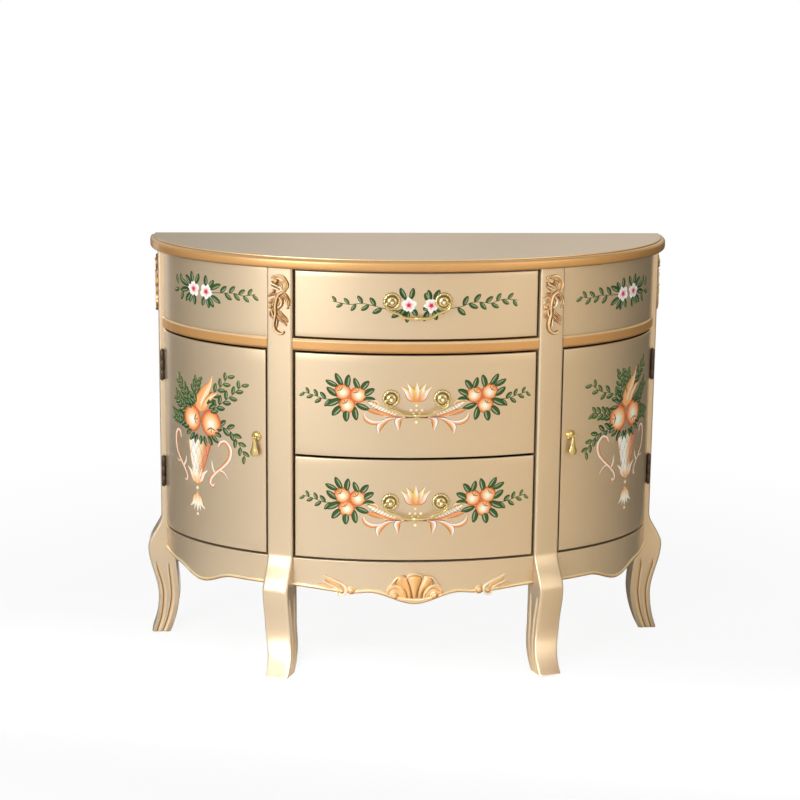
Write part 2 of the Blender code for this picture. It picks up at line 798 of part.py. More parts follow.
def build_pull(side, label, door_carrier):
    """Domed base on the door with a pear-shaped drop that swings on its pin."""
    angle = turned(door_edge, -pull_edge_inset)
    if side < 0:
        angle = 180 - angle
    seat = plan_point(angle, fit_gap)
    seat.z = pull_height
    matrix = facing(seat, plan_normal(angle), side)
    dome = [(pull_radius, 0.0), (pull_radius, pull_dome_height / 4)]
    for turn in spaced(30, 90, 2)[:-1]:
        dome.append((pull_radius * cos(radians(turn)),
                     pull_dome_height / 4 + pull_dome_height * 3 / 4 * sin(radians(turn))))
    dome.append((0.0, pull_dome_height))
    base = [turned_shape(dome, 14)]
    reach = pull_stand_off + pull_eye_radius / 2
    for over in (-1, 1):
        near = over * pull_cheek_gap / 2
        far = over * (pull_cheek_gap / 2 + pull_cheek)
        base.append(block((min(near, far), -pull_eye_radius, pull_dome_height / 4),
                          (max(near, far), pull_eye_radius, reach)))
    pin_half = pull_cheek_gap / 2 + pull_cheek / 2
    pin = turned_shape([(pull_pin_radius, -pin_half), (pull_pin_radius, pin_half)], 8)
    across = Matrix.Translation((0.0, 0.0, pull_stand_off)) @ Matrix.Rotation(pi / 2, 4, "Y")
    base.append(moved(pin, across))
    place(f"pull_base_{label}", moved(combined(base[0], base[1:]), matrix), brass, door_carrier, smooth=35)

    eye_half = pull_cheek_gap / 2 - fit_gap
    eye = moved(turned_shape([(pull_eye_radius, -eye_half), (pull_eye_radius, eye_half)], 12), across)
    neck_share = 4 * pull_cheek_gap / drop_width / 5
    loops = []
    shares = ((0.0, neck_share), (pull_eye_radius / drop_length, neck_share), *pear_shares)
    for share, width_share in shares:
        loop = []
        for step in range(10):
            turn = 2 * pi * step / 10
            loop.append(Vector((drop_width / 2 * width_share * cos(turn), -share * drop_length,
                                pull_stand_off + drop_thickness / 2 * sqrt(width_share) * sin(turn))))
        loops.append(loop)
    solid = combined(eye, [lofted(loops)])
    bore_radius = pull_pin_radius + fit_gap
    bore = turned_shape([(bore_radius, -pull_cheek_gap), (bore_radius, pull_cheek_gap)], 8)
    solid = combined(solid, [moved(bore, across)], "DIFFERENCE")
    pivot = matrix @ Vector((0.0, 0.0, pull_stand_off))
    place(f"pull_drop_{label}", moved(solid, matrix), brass, door_carrier, pivot, smooth=35)


def build_doors():
    """Both doors with their hinges and pulls, on empties that stand on the hinge axes."""
    levels = {"upper": door_top - upper_hinge_inset - hinge_height / 2,
              "lower": lower_drawer_base + lower_hinge_inset - hinge_height / 2}
    for side, label in ((-1, "left"), (1, "right")):
        carrier = carrier_at(f"door_{label}_axis", hinge_axis(side))
        build_door(side, label, carrier)
        for level, low in levels.items():
            build_hinge(side, f"{level}_{label}", low, carrier)
        build_pull(side, label, carrier)


# Drawers


def build_drawer_front(name, low, high, carrier):
    """Bowed drawer front with rounded outer edges and ends parallel to the legs."""
    angles, ends = middle_stretch(reveal)

    def profile(_angle):
        return rounded_profile(-front_thickness, 0.0, low, high, front_edge_round)

    place(f"drawer_front_{name}", swept(angles, profile, *ends), champagne, carrier, smooth=35)


def front_back_y(x):
    """Y of the drawer front's rear face at a given x."""
    inset = -front_thickness - fit_gap
    return plan_point(angle_at_x(x, inset), inset).y


def build_drawer_box(name, base, side_height, carrier):
    """Sides, back and bottom of a drawer. The bottom slides in grooves and under the back."""
    low = base + side_lift
    high = low + side_height
    outer = divider_inner_x - side_play
    inner = outer - side_thickness
    groove = inner + groove_depth
    groove_low = low + groove_lift
    groove_high = groove_low + panel_thickness + 2 * fit_gap
    rear_y = back_panel_y - drawer_back_clearance
    section = [(outer, low), (outer, high), (inner, high), (inner, groove_high), (groove, groove_high),
               (groove, groove_low), (inner, groove_low), (inner, low)]
    outer_y = front_back_y(outer)
    slope = (front_back_y(inner) - outer_y) / (inner - outer)
    for side, label in ((-1, "left"), (1, "right")):
        front = [Vector((x * side, outer_y + (x - outer) * slope, z)) for x, z in section]
        rear = [Vector((x * side, rear_y, z)) for x, z in section]
        place(f"drawer_side_{name}_{label}", lofted([front, rear]), bare_wood, carrier)
    board_low = groove_low + fit_gap
    board_high = board_low + panel_thickness
    reach = inner - fit_gap
    place(f"drawer_back_{name}", block((-reach, rear_y - side_thickness, board_high + fit_gap),
                                       (reach, rear_y, high)), bare_wood, carrier)
    reach = groove - fit_gap
    outline = [(reach, rear_y), (-reach, rear_y)]
    inset = -front_thickness - 2 * fit_gap
    start = angle_at_x(reach, inset)
    for angle in spaced(180 - start, start, 12):
        point = plan_point(angle, inset)
        outline.append((point.x, point.y))
    place(f"drawer_bottom_{name}", prism(outline, board_low, board_high), back_board, carrier)


def rosette(across_sign):
    """Turned rosette with a post that has a cross hole for the bail's pin."""
    profile = [(rosette_radius * width, rosette_height * rise) for width, rise in rosette_shares]
    profile += [(post_radius, rosette_height), (post_radius, post_reach - post_radius / 2),
                (post_radius / 2, post_reach)]
    hole_radius = bail_pin_radius + fit_gap
    hole = turned_shape([(hole_radius, 0.0), (hole_radius, 2 * post_radius)], 8)
    turn = Matrix.Translation((across_sign * post_radius / 3, 0.0, bail_stand_off))
    turn = turn @ Matrix.Rotation(across_sign * pi / 2, 4, "Y")
    return combined(turned_shape(profile, 12), [moved(hole, turn)], "DIFFERENCE")


def bail_path():
    """Right half of the bail, from its pin down and round to the middle, as (x, z) pairs."""
    pin_start = handle_spread / 2 + post_radius / 3 + 2 * fit_gap
    elbow = handle_spread / 2 + post_radius + bail_shoulder / 2
    path = [(pin_start, 0.0), (elbow - bail_radius, 0.0), (elbow + bail_radius / 2, -bail_radius),
            (elbow + bail_radius, -bail_drop / 4), (elbow - bail_shoulder / 3, -bail_drop / 2)]
    return path + [(handle_spread * across, -bail_drop * down) for across, down in bail_shares]


def bail_solid():
    """Swan-neck bail as a tube along its path, thinner where it enters the posts."""
    half = bail_path()
    path = half + [(-x, z) for x, z in half[-2::-1]]
    loops = []
    for number, (x, z) in enumerate(path):
        before = path[max(number - 1, 0)]
        after = path[min(number + 1, len(path) - 1)]
        heading = Vector((after[0] - before[0], 0.0, after[1] - before[1])).normalized()
        across = Vector((-heading.z, 0.0, heading.x))
        radius = bail_pin_radius if number in (0, 1, len(path) - 2, len(path) - 1) else bail_radius
        loop = []
        for step in range(8):
            turn = 2 * pi * step / 8
            loop.append(Vector((x, 0.0, z)) + radius * (cos(turn) * across + sin(turn) * backwards))
        loops.append(loop)
    return lofted(loops)


def build_handle(name, level, carrier):
    """Two rosettes on the drawer front and the bail that swings between them."""
    middle = plan_point(90)
    plane_y = middle.y - fit_gap
    for side, label in ((-1, "left"), (1, "right")):
        seat = Vector((side * handle_spread / 2, plane_y, level))
        solid = seated_on_front(moved(rosette(side), facing(seat, -backwards)), plane_y)
        place(f"rosette_{name}_{label}", solid, brass, carrier, smooth=35)
    pivot = Vector((0.0, plane_y - bail_stand_off, level))
    solid = moved(bail_solid(), Matrix.Translation(pivot))
    place(f"bail_{name}", solid, brass, carrier, pivot, smooth=60)


def build_drawers():
    """Three drawers, each on an empty at the middle of its front."""
    drawers = (("top", top_drawer_base, top_drawer_height, top_side_height, top_handle_rise),
               ("middle", middle_drawer_base, deep_drawer_height, deep_side_height, deep_handle_rise),
               ("bottom", lower_drawer_base, deep_drawer_height, deep_side_height, deep_handle_rise))
    for name, base, front_height, side_height, rise in drawers:
        carrier = carrier_at(f"drawer_{name}_slide", plan_point(90))
        build_drawer_front(name, base, base + front_height, carrier)
        build_drawer_box(name, base, side_height, carrier)
        build_handle(name, base + front_height / 2 + rise, carrier)


# Carved ornaments


def stroke(path, relief):
    """Carved stem: a ridge with a flat back along a path of (across, up, half width) triples."""
    loops = []
    for number, (x, y, half_width) in enumerate(path):
        before = Vector(path[max(number - 1, 0)][:2])
        after = Vector(path[min(number + 1, len(path) - 1)][:2])
        heading = (after - before).normalized()
        across = Vector((-heading.y, heading.x)) * half_width
        loop = []
        for over, lift in stroke_section_shares:
            loop.append(Vector((x + across.x * over, y + across.y * over, relief * lift)))
        loops.append(loop)
    return lofted(loops)


def boss(x, y, radius, relief):
    """Carved knob with a flat back."""
    profile = [(radius * width, relief * rise) for width, rise in boss_shares]
    return moved(turned_shape(profile, 10), Matrix.Translation((x, y, 0.0)))


def carved_mount(width):
    """Curled bud above a leafy stem that ends in a hook."""
    solids = [boss(x * width, y * mount_height, radius * width, mount_relief)
              for x, y, radius in mount_boss_shares]
    for number, path_shares in enumerate(mount_stroke_shares):
        path = [(x * width, y * mount_height, half * width) for x, y, half in path_shares]
        solids.append(stroke(path, mount_relief * (1 - number / 4 / len(mount_stroke_shares))))
    return combined(solids[0], solids[1:])


def build_mounts():
    """Four carved mounts of one pattern on the faces of the stiles, under the top board."""
    level = top_underside - mount_top_gap - mount_height / 2
    for side, label in ((-1, "left"), (1, "right")):
        seat = mirrored(leg_middle + leg_out * (stile_proud + fit_gap), side)
        seat.z = level
        matrix = facing(seat, mirrored(leg_out, side))
        place(f"mount_front_{label}", moved(carved_mount(mount_width), matrix), gilt, smooth=35)
        reach = front_half_width + stile_proud + fit_gap
        seat = Vector((side * reach, back_y - back_stile_width / 2, level))
        matrix = facing(seat, sideways * side)
        place(f"mount_side_{label}", moved(carved_mount(side_mount_width), matrix), gilt, smooth=35)


def shell_path(path_shares, side=1):
    """Path of a lobe in real sizes, on the right half or mirrored to the left."""
    path = [(x * shell_width, y * shell_height, half * shell_width) for x, y, half in path_shares]
    return [(x * side, y, half) for x, y, half in path]


def build_shell():
    """Carved shell on the centre apron: five lobes, the outer two curled over a scroll eye."""
    solids = [stroke(shell_path(shell_root_shares), shell_relief / 2)]
    (eye_x, eye_y, eye_radius), = shell_path([shell_eye_shares])
    for side in (-1, 1):
        solids.append(boss(side * eye_x, eye_y, eye_radius, shell_relief))
        for number, path_shares in enumerate(shell_lobe_shares):
            solids.append(stroke(shell_path(path_shares, side), shell_relief * (1 - (number + 1) / 8)))
    level = centre_scallop(90) + shell_lift + shell_height / 2
    shape = combined(stroke(shell_path(shell_middle_shares), shell_relief), solids)
    place("apron_shell", wrapped_on_front(shape, level), gilt, smooth=35)


def centre_on_floor():
    """Slide the cabinet along Y, so that the origin lies under the middle of its depth."""
    bpy.context.view_layer.update()
    reaches = [(thing.matrix_world @ Vector(corner)).y
               for thing in bpy.data.objects if thing.type == "MESH" for corner in thing.bound_box]
    shift = -(min(reaches) + max(reaches)) / 2
    for thing in bpy.data.objects:
        if thing.parent is None:
            thing.location.y += shift
    bpy.context.view_layer.update()
    print(f"slid by {shift:.6f} m along Y")


def main():
    """Build the cabinet from the legs up."""
    start_scene()
    build_legs()
    build_top_board()
    build_back_panel()
    build_bottom_board()
    build_dividers()
    build_rails()
    build_friezes()
    build_aprons()
    build_doors()
    build_drawers()
    build_mounts()
    build_shell()
    centre_on_floor()


main()
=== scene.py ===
"""Looks of a painted demilune cabinet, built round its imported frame.

The bowed panels, the cabriole legs and the half-round top are surfaces worked out with numpy. The
carved mounts and the shell are ridges swept along curves. The fruit, flowers and urns are thin
strokes of paint laid on the panels. Units are metres, +Z is up and the front faces -Y.
"""
import logging
from dataclasses import dataclass
from enum import Enum
from functools import cached_property
from typing import Callable, ClassVar, Iterable, Optional, Sequence

import bpy
import numpy as np
from mathutils import Matrix, Vector


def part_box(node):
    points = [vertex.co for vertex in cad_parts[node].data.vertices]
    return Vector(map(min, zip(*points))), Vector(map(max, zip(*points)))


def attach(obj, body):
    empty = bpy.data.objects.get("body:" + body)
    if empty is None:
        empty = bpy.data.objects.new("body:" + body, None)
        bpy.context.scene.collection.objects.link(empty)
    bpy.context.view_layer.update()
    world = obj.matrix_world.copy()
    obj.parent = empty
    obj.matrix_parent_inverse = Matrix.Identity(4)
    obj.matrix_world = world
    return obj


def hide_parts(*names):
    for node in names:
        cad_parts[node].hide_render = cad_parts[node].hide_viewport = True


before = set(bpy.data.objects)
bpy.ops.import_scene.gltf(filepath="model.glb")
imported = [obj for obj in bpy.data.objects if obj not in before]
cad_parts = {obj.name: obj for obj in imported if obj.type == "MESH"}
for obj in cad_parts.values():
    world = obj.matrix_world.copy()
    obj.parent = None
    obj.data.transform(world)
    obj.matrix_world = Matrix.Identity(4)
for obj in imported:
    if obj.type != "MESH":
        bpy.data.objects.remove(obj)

LOG = logging.getLogger("cabinet")
Array = np.ndarray
Colour = tuple[int, int, int]
Mapping = Callable[[Array, Array, Array], Array]
Path = Sequence[Sequence[float]]
Socket = bpy.types.NodeSocket
Spot = tuple[float, float, float]
SIDES = ((-1, "left"), (1, "right"))
DRAWERS = ("top", "middle", "bottom")


# Arithmetic shared by the pieces


def unit(value: Array) -> Array:
    """Value kept from 0 to 1."""
    return np.clip(value, 0.0, 1.0)


def ease(start: float, end: float, share: Array) -> Array:
    """Smooth step from start to end as share goes from 0 to 1."""
    share = unit(share)
    return start + (end - start) * share * share * (3 - 2 * share)


def bell(value: Array, middle: float, width: float) -> Array:
    """Bump of height 1 at its middle: exp(-((value - middle) / width)^2)."""
    return np.exp(-((value - middle) / width) ** 2)


def quarter(count: int) -> Array:
    """Angles over a quarter of a circle."""
    return np.linspace(0.0, np.pi / 2, count)


def circle(count: int) -> Array:
    """Angles round a whole circle, as one row."""
    return np.linspace(0.0, 2 * np.pi, count + 1)[:-1][None, :]


def crosswise(count: int) -> Array:
    """Places from -1 to 1 over a stroke's width, as one row gathered at its rims."""
    return np.sin(np.linspace(-np.pi / 2, np.pi / 2, count))[None, :]


def gathered(count: int) -> Array:
    """Shares from 0 to 1, gathered at both ends."""
    return (1 - np.cos(np.linspace(0.0, np.pi, count))) / 2


def spread(low: float, high: float, edge: float, edge_steps: int, steps: int) -> Array:
    """Places from low to high, gathered in the rounded edges.

    Within an edge the distance from the end is edge * (1 - cos(turn)), which spaces a quarter
    circle evenly.
    """
    near = edge * (1 - np.cos(quarter(edge_steps + 1)))
    middle = np.linspace(low + edge, high - edge, steps + 1)[1:-1]
    return np.concatenate([low + near, middle, (high - near)[::-1]])


def rounding(distances: Iterable[Array], radius: float) -> Array:
    """Drop of a rounded edge: radius - sqrt(radius^2 - e^2), where e is how far a point lies in the
    edge zones of all the given distances together."""
    reach = sum(np.clip(radius - distance, 0.0, radius) ** 2 for distance in distances)
    return radius - np.sqrt(np.clip(radius ** 2 - reach, 0.0, None))


def rows(*numbers: int, parts: int = 10000, wide: int = 3) -> Array:
    """Rows of a path, mostly across, up and half width, from whole ten-thousandths."""
    return np.array(numbers, float).reshape(-1, wide) / parts


def shares(*numbers: int) -> Array:
    """Rows of across, up and half width, from whole thousandths of a size."""
    return rows(*numbers, parts=1000)


def smooth_path(controls: Path, count: int) -> Array:
    """Catmull-Rom curve through the control rows, with rows gathered towards both ends.

    Args:
        controls: control rows.
        count: number of rows.

    Returns:
        Rows of the curve.
    """
    points = np.asarray(controls, float)
    slopes = np.gradient(points, axis=0)
    place = (1 - np.cos(np.pi * np.linspace(0.0, 1.0, count))) / 2 * (len(points) - 1)
    span = np.minimum(place.astype(int), len(points) - 2)
    share = (place - span)[:, None]
    square, cube = share ** 2, share ** 3
    return ((2 * cube - 3 * square + 1) * points[span]
            + (cube - 2 * square + share) * slopes[span]
            + (3 * square - 2 * cube) * points[span + 1] + (cube - square) * slopes[span + 1])


def run_of(points: Array) -> Array:
    """Length of the way along rows of points, at each row."""
    steps = np.linalg.norm(np.diff(points, axis=0), axis=1)
    return np.concatenate([[0.0], np.cumsum(steps)])


def sideways_of(points: Array) -> Array:
    """Unit vectors to the left of a way through rows of points."""
    heading = np.gradient(points, axis=0)
    heading /= np.linalg.norm(heading, axis=1, keepdims=True)
    return np.stack([-heading[:, 1], heading[:, 0]], axis=1)


def mirrored(points: Array, side: int) -> Array:
    """The points themselves on the right side (1), or their mirror image on the left (-1)."""
    return points * np.array([side, 1.0, 1.0])


def linear(colour: Colour) -> Array:
    """Linear light of a colour given in display steps from 0 to 255."""
    value = np.asarray(colour, float) / 255
    return np.where(value <= 0.04045, value / 12.92, ((value + 0.055) / 1.055) ** 2.4)


def rgba(colour: Colour) -> tuple[float, ...]:
    """Linear colour with an alpha of one, for a shader's socket."""
    return (*linear(colour), 1.0)


# Finishes


class Tree:
    """Small helper that adds and links the nodes of one tree."""

    def __init__(self, tree: bpy.types.NodeTree) -> None:
        """Hold the tree."""
        self.tree = tree

    def fill(self, node: bpy.types.Node, inputs: dict) -> None:
        """Link or set inputs of a node, by socket name or number.

        Args:
            node: the node.
            inputs: socket name or number to a value or an output socket.
        """
        for name, value in inputs.items():
            if isinstance(value, Socket):
                self.tree.links.new(value, node.inputs[name])
            else:
                node.inputs[name].default_value = value

    def add(self, kind: str, inputs: Optional[dict] = None, **settings: object) -> bpy.types.Node:
        """Add a node.

        Args:
            kind: node type without its ShaderNode prefix.
            inputs: socket name or number to a value or an output socket.
            settings: attributes of the node.

        Returns:
            The node.
        """
        node = self.tree.nodes.new(kind if kind.startswith("Node") else "ShaderNode" + kind)
        for name, value in settings.items():
            setattr(node, name, value)
        self.fill(node, inputs or {})
        return node

    def group(self, name: str, inputs: dict) -> bpy.types.Node:
        """Place a shared node group with its own values."""
        return self.add("Group", inputs, node_tree=bpy.data.node_groups[name])

    def math(self, operation: str, *values: object) -> Socket:
        """Result of an operation on numbers."""
        return self.add("Math", dict(enumerate(values)), operation=operation).outputs[0]

    def remap(self, value: Socket, low: float, high: float, start: float = 0.0,
              end: float = 1.0) -> Socket:
        """Value moved from the range low to high to the range start to end."""
        return self.add("MapRange", {"Value": value, "From Min": low, "From Max": high,
                                     "To Min": start, "To Max": end}).outputs[0]

    def average(self, factor: object, low: Socket, high: Socket) -> Socket:
        """Number between two numbers."""
        return self.add("Mix", {"Factor": factor, "A": low, "B": high}).outputs[0]

    def mix(self, factor: Socket, low: object, high: object) -> Socket:
        """Colour between two colours."""
        return self.add("Mix", {0: factor, 6: low, 7: high}, data_type="RGBA").outputs[2]

    def scaled(self, colour: object, factor: Socket) -> Socket:
        """Colour times a number."""
        return self.add("VectorMath", {0: colour, "Scale": factor}, operation="SCALE").outputs[0]

    def kept(self, name: str, output: str = "Fac") -> Socket:
        """Value kept at the vertices."""
        return self.add("Attribute", attribute_name=name).outputs[output]


FLOAT, COLOUR, VECTOR = "NodeSocketFloat", "NodeSocketColor", "NodeSocketVector"
WHITE = (1.0, 1.0, 1.0, 1.0)


def new_group(name: str, inputs: dict[str, str],
              outputs: dict[str, str]) -> tuple[Tree, dict, bpy.types.Node]:
    """Start a shared shader node group.

    Args:
        name: the group's name.
        inputs, outputs: socket names and their kinds.

    Returns:
        Its helper, its input sockets by name, and its output node.
    """
    tree = bpy.data.node_groups.new(name, "ShaderNodeTree")
    for direction, sockets in (("INPUT", inputs), ("OUTPUT", outputs)):
        for label, kind in sockets.items():
            tree.interface.new_socket(label, in_out=direction, socket_type=kind)
    helper = Tree(tree)
    source = helper.add("NodeGroupInput")
    return helper, {socket.name: socket for socket in source.outputs}, helper.add("NodeGroupOutput")


def clouding_group() -> None:
    """Soft uneven tone: the colour times one plus a broad noise, with a finer noise on top."""
    helper, given, out = new_group(
        "Clouding", {"Vector": VECTOR, "Color": COLOUR, "Scale": FLOAT, "Amount": FLOAT},
        {"Color": COLOUR})
    vector, scale = given["Vector"], given["Scale"]
    broad = helper.add("TexNoise", {"Vector": vector, "Scale": scale, "Detail": 3.0})
    fine_scale = helper.math("MULTIPLY", scale, 14.0)
    fine = helper.add("TexNoise", {"Vector": vector, "Scale": fine_scale, "Detail": 2.0})
    both = helper.average(0.3, broad.outputs["Fac"], fine.outputs["Fac"])
    tone = helper.math("MULTIPLY_ADD", helper.math("SUBTRACT", both, 0.5), given["Amount"], 1.0)
    helper.fill(out, {"Color": helper.scaled(given["Color"], tone)})


def brushwork_group() -> None:
    """Fine skin of a sprayed or brushed coat: flake noise in the height and in the roughness."""
    helper, given, out = new_group(
        "Brushwork", {"Vector": VECTOR, "Scale": FLOAT, "Roughness": FLOAT, "Variation": FLOAT},
        {"Height": FLOAT, "Roughness": FLOAT})
    vector, scale = given["Vector"], given["Scale"]
    skin = helper.add("TexNoise", {"Vector": vector, "Scale": scale, "Detail": 4.0}).outputs["Fac"]
    flake_scale = helper.math("MULTIPLY", scale, 5.0)
    flake = helper.add("TexVoronoi", {"Vector": vector, "Scale": flake_scale})
    rough = helper.math("MULTIPLY_ADD", helper.math("SUBTRACT", skin, 0.5), given["Variation"],
                        given["Roughness"])
    helper.fill(out, {"Height": helper.average(0.25, skin, flake.outputs["Distance"]),
                      "Roughness": rough})


def grain_group() -> None:
    """Wood grain: rings seen along the board as stretched waves, with fine pores."""
    helper, given, out = new_group(
        "Grain", {"Vector": VECTOR, "Light": COLOUR, "Dark": COLOUR, "Scale": FLOAT},
        {"Color": COLOUR})
    wave = helper.add("TexWave", {"Vector": given["Vector"], "Scale": given["Scale"],
                                  "Distortion": 9.0, "Detail": 3.0, "Detail Scale": 1.6},
                      wave_type="BANDS", bands_direction="Z")
    pores = helper.add("TexNoise", {"Vector": given["Vector"], "Scale": 24.0, "Detail": 6.0,
                                    "Roughness": 0.7})
    both = helper.average(0.75, wave.outputs["Fac"], pores.outputs["Fac"])
    helper.fill(out, {"Color": helper.mix(both, given["Light"], given["Dark"])})


def relief_group() -> None:
    """Relief tones of painted shade and painted highlight: the hollow's colour at a lift of 0, the
    own colour at 0.5, the ridge's at 1.
    """
    helper, given, out = new_group(
        "Relief", {"Color": COLOUR, "Hollow": COLOUR, "Ridge": COLOUR, "Lift": FLOAT},
        {"Color": COLOUR})
    lower = helper.mix(helper.remap(given["Lift"], 0.0, 0.5), given["Hollow"], given["Color"])
    upper = helper.mix(helper.remap(given["Lift"], 0.5, 1.0), lower, given["Ridge"])
    helper.fill(out, {"Color": upper})


@dataclass(frozen=True)
class Look:
    """Material of a piece, and the slot that it fills."""

    material: bpy.types.Material
    slot: Optional[str]


@dataclass(frozen=True)
class Finish:
    """A coat: its colour, gloss, metal and skin, made into a node material."""

    name: str
    colour: Colour
    roughness: float
    metallic: float
    slot: Optional[str] = None
    coat: float = 0.0
    cloud_scale: float = 5.0
    cloud_amount: float = 0.12
    skin_scale: float = 180.0
    skin_depth: float = 0.00004
    variation: float = 0.10
    specular: float = 0.5
    coat_roughness: float = 0.20

    def colour_socket(self, helper: Tree, vector: Socket) -> object:
        """Colour before the clouding: a plain one here."""
        return rgba(self.colour)

    def metal_socket(self, helper: Tree) -> object:
        """Metallic value: a plain one here."""
        return self.metallic

    def look(self) -> Look:
        """Build the material and name its slot.

        Returns:
            The material with its slot.
        """
        material = bpy.data.materials.new(self.name)
        material.use_nodes = True
        helper = Tree(material.node_tree)
        vector = helper.add("TexCoord").outputs["Object"]
        cloud = helper.group("Clouding", {
            "Vector": vector, "Color": self.colour_socket(helper, vector),
            "Scale": self.cloud_scale, "Amount": self.cloud_amount})
        skin = helper.group("Brushwork", {
            "Vector": vector, "Scale": self.skin_scale, "Roughness": self.roughness,
            "Variation": self.variation})
        bump = helper.add("Bump", {"Height": skin.outputs["Height"], "Distance": self.skin_depth})
        helper.fill(material.node_tree.nodes["Principled BSDF"], {
            "Base Color": cloud.outputs["Color"], "Roughness": skin.outputs["Roughness"],
            "Normal": bump.outputs["Normal"], "Metallic": self.metal_socket(helper),
            "Coat Weight": self.coat, "Coat Roughness": self.coat_roughness,
            "Specular IOR Level": self.specular})
        return Look(material, self.slot)


@dataclass(frozen=True)
class Coat(Finish):
    """Coat that goes dark or pale by the vertices' lift value: painted shade in hollows, gaps and
    lower edges, and painted highlights on crests and upper edges.
    """

    # The hollow colour is painted shade and the ridge colour painted highlight; this near-black
    # hollow paints the shade of the gaps beside the lacquered panels.
    hollow: Colour = (36, 32, 30)
    ridge: Colour = (255, 244, 220)

    def relief(self, helper: Tree, *tones: Colour) -> Socket:
        """Relief tones of an own colour, a hollow's and a ridge's."""
        inputs = dict(zip(("Color", "Hollow", "Ridge"), map(rgba, tones)))
        return helper.group("Relief", {**inputs, "Lift": helper.kept("lift")}).outputs["Color"]

    def colour_socket(self, helper: Tree, vector: Socket) -> object:
        """The coat's colour with its relief tones."""
        return self.relief(helper, self.colour, self.hollow, self.ridge)


@dataclass(frozen=True)
class PartlyGilt(Coat):
    """Lacquer that turns to gilding where the vertices' gilt value is high."""

    gilding: Colour = (222, 166, 98)
    # Painted shade and painted highlight of the gilded parts, such as the flutes, the top's rim and
    # the apron bead.
    gilt_hollow: Colour = (104, 66, 30)
    gilt_ridge: Colour = (252, 236, 190)
    gilt_metallic: float = 0.45

    def colour_socket(self, helper: Tree, vector: Socket) -> object:
        """Lacquer colour mixed with the gilding, each with its own relief tones."""
        return helper.mix(helper.kept("gilt"), super().colour_socket(helper, vector),
                          self.relief(helper, self.gilding, self.gilt_hollow, self.gilt_ridge))

    def metal_socket(self, helper: Tree) -> object:
        """Metallic value between the lacquer's and the gilding's."""
        return helper.remap(helper.kept("gilt"), 0.0, 1.0, self.metallic, self.gilt_metallic)


@dataclass(frozen=True)
class Paint(Finish):
    """Artist's paint whose colour is kept at the vertices."""

    def colour_socket(self, helper: Tree, vector: Socket) -> object:
        """Colour of the stroke."""
        return helper.kept("tint", "Color")


@dataclass(frozen=True)
class Wood(Finish):
    """Unpainted board whose grain runs along one axis."""

    dark: Colour = (150, 112, 70)
    stretch: Spot = (1.5, 1.5, 16.0)
    turn: Spot = (0.0, 0.0, 0.0)
    grain_scale: float = 2.2

    def colour_socket(self, helper: Tree, vector: Socket) -> object:
        """Grain between the light and the dark wood, drawn out along the board.

        Args:
            helper: helper of the material's nodes.
            vector: place on the board.

        Returns:
            The colour's socket.
        """
        turned = helper.add("Mapping", {"Vector": vector, "Scale": self.stretch,
                                        "Rotation": self.turn}).outputs[0]
        return helper.group("Grain", {"Vector": turned, "Light": rgba(self.colour),
                                      "Dark": rgba(self.dark),
                                      "Scale": self.grain_scale}).outputs["Color"]


class Finishes:
    """All the looks of the cabinet, built once."""

    def __init__(self) -> None:
        """Build the shared groups and each material."""
        for group in (clouding_group, brushwork_group, grain_group, relief_group):
            group()
        # The hollow and ridge colours of each coat are its painted shade and painted highlight.
        self.lacquer = PartlyGilt(
            "champagne_lacquer", (218, 194, 160), 0.33, 0.60, "champagne_lacquer", coat=0.55,
            cloud_amount=0.08, skin_scale=260.0).look()
        self.gilt_band = Coat(
            "gilt_band", (214, 160, 98), 0.36, 0.40, "gilt", cloud_scale=9.0, cloud_amount=0.20,
            skin_scale=140.0, hollow=(112, 72, 34), ridge=(250, 228, 186)).look()
        self.carving = Coat(
            "carved_gilt", (230, 174, 102), 0.34, 0.25, "gilt", cloud_scale=40.0,
            cloud_amount=0.25, skin_scale=420.0, hollow=(104, 66, 28), ridge=(252, 242, 212)).look()
        self.brass = Coat(
            "polished_brass", (218, 194, 130), 0.20, 0.80, "polished_brass", cloud_scale=60.0,
            cloud_amount=0.30, skin_scale=500.0, skin_depth=0.00002, hollow=(112, 90, 46),
            ridge=(255, 250, 226)).look()
        self.bronze = Coat("dark_bronze", (88, 74, 60), 0.42, 0.70, "dark_bronze",
                           cloud_scale=80.0, cloud_amount=0.6).look()
        self.paint = Paint("artist_paint", (255, 255, 255), 0.45, 0.0, cloud_scale=120.0,
                           cloud_amount=0.18, skin_scale=600.0, specular=0.15).look()
        self.board = Wood("bare_wood", (205, 172, 128), 0.62, 0.0, cloud_amount=0.15,
                          skin_scale=90.0, skin_depth=0.0001).look()
        self.sheet = Wood("thin_board", (176, 142, 100), 0.70, 0.0, cloud_amount=0.2,
                          skin_scale=70.0, skin_depth=0.0001, dark=(146, 112, 74),
                          stretch=(8.0, 1.5, 0.5), turn=(0.0, np.pi / 2, 0.0)).look()


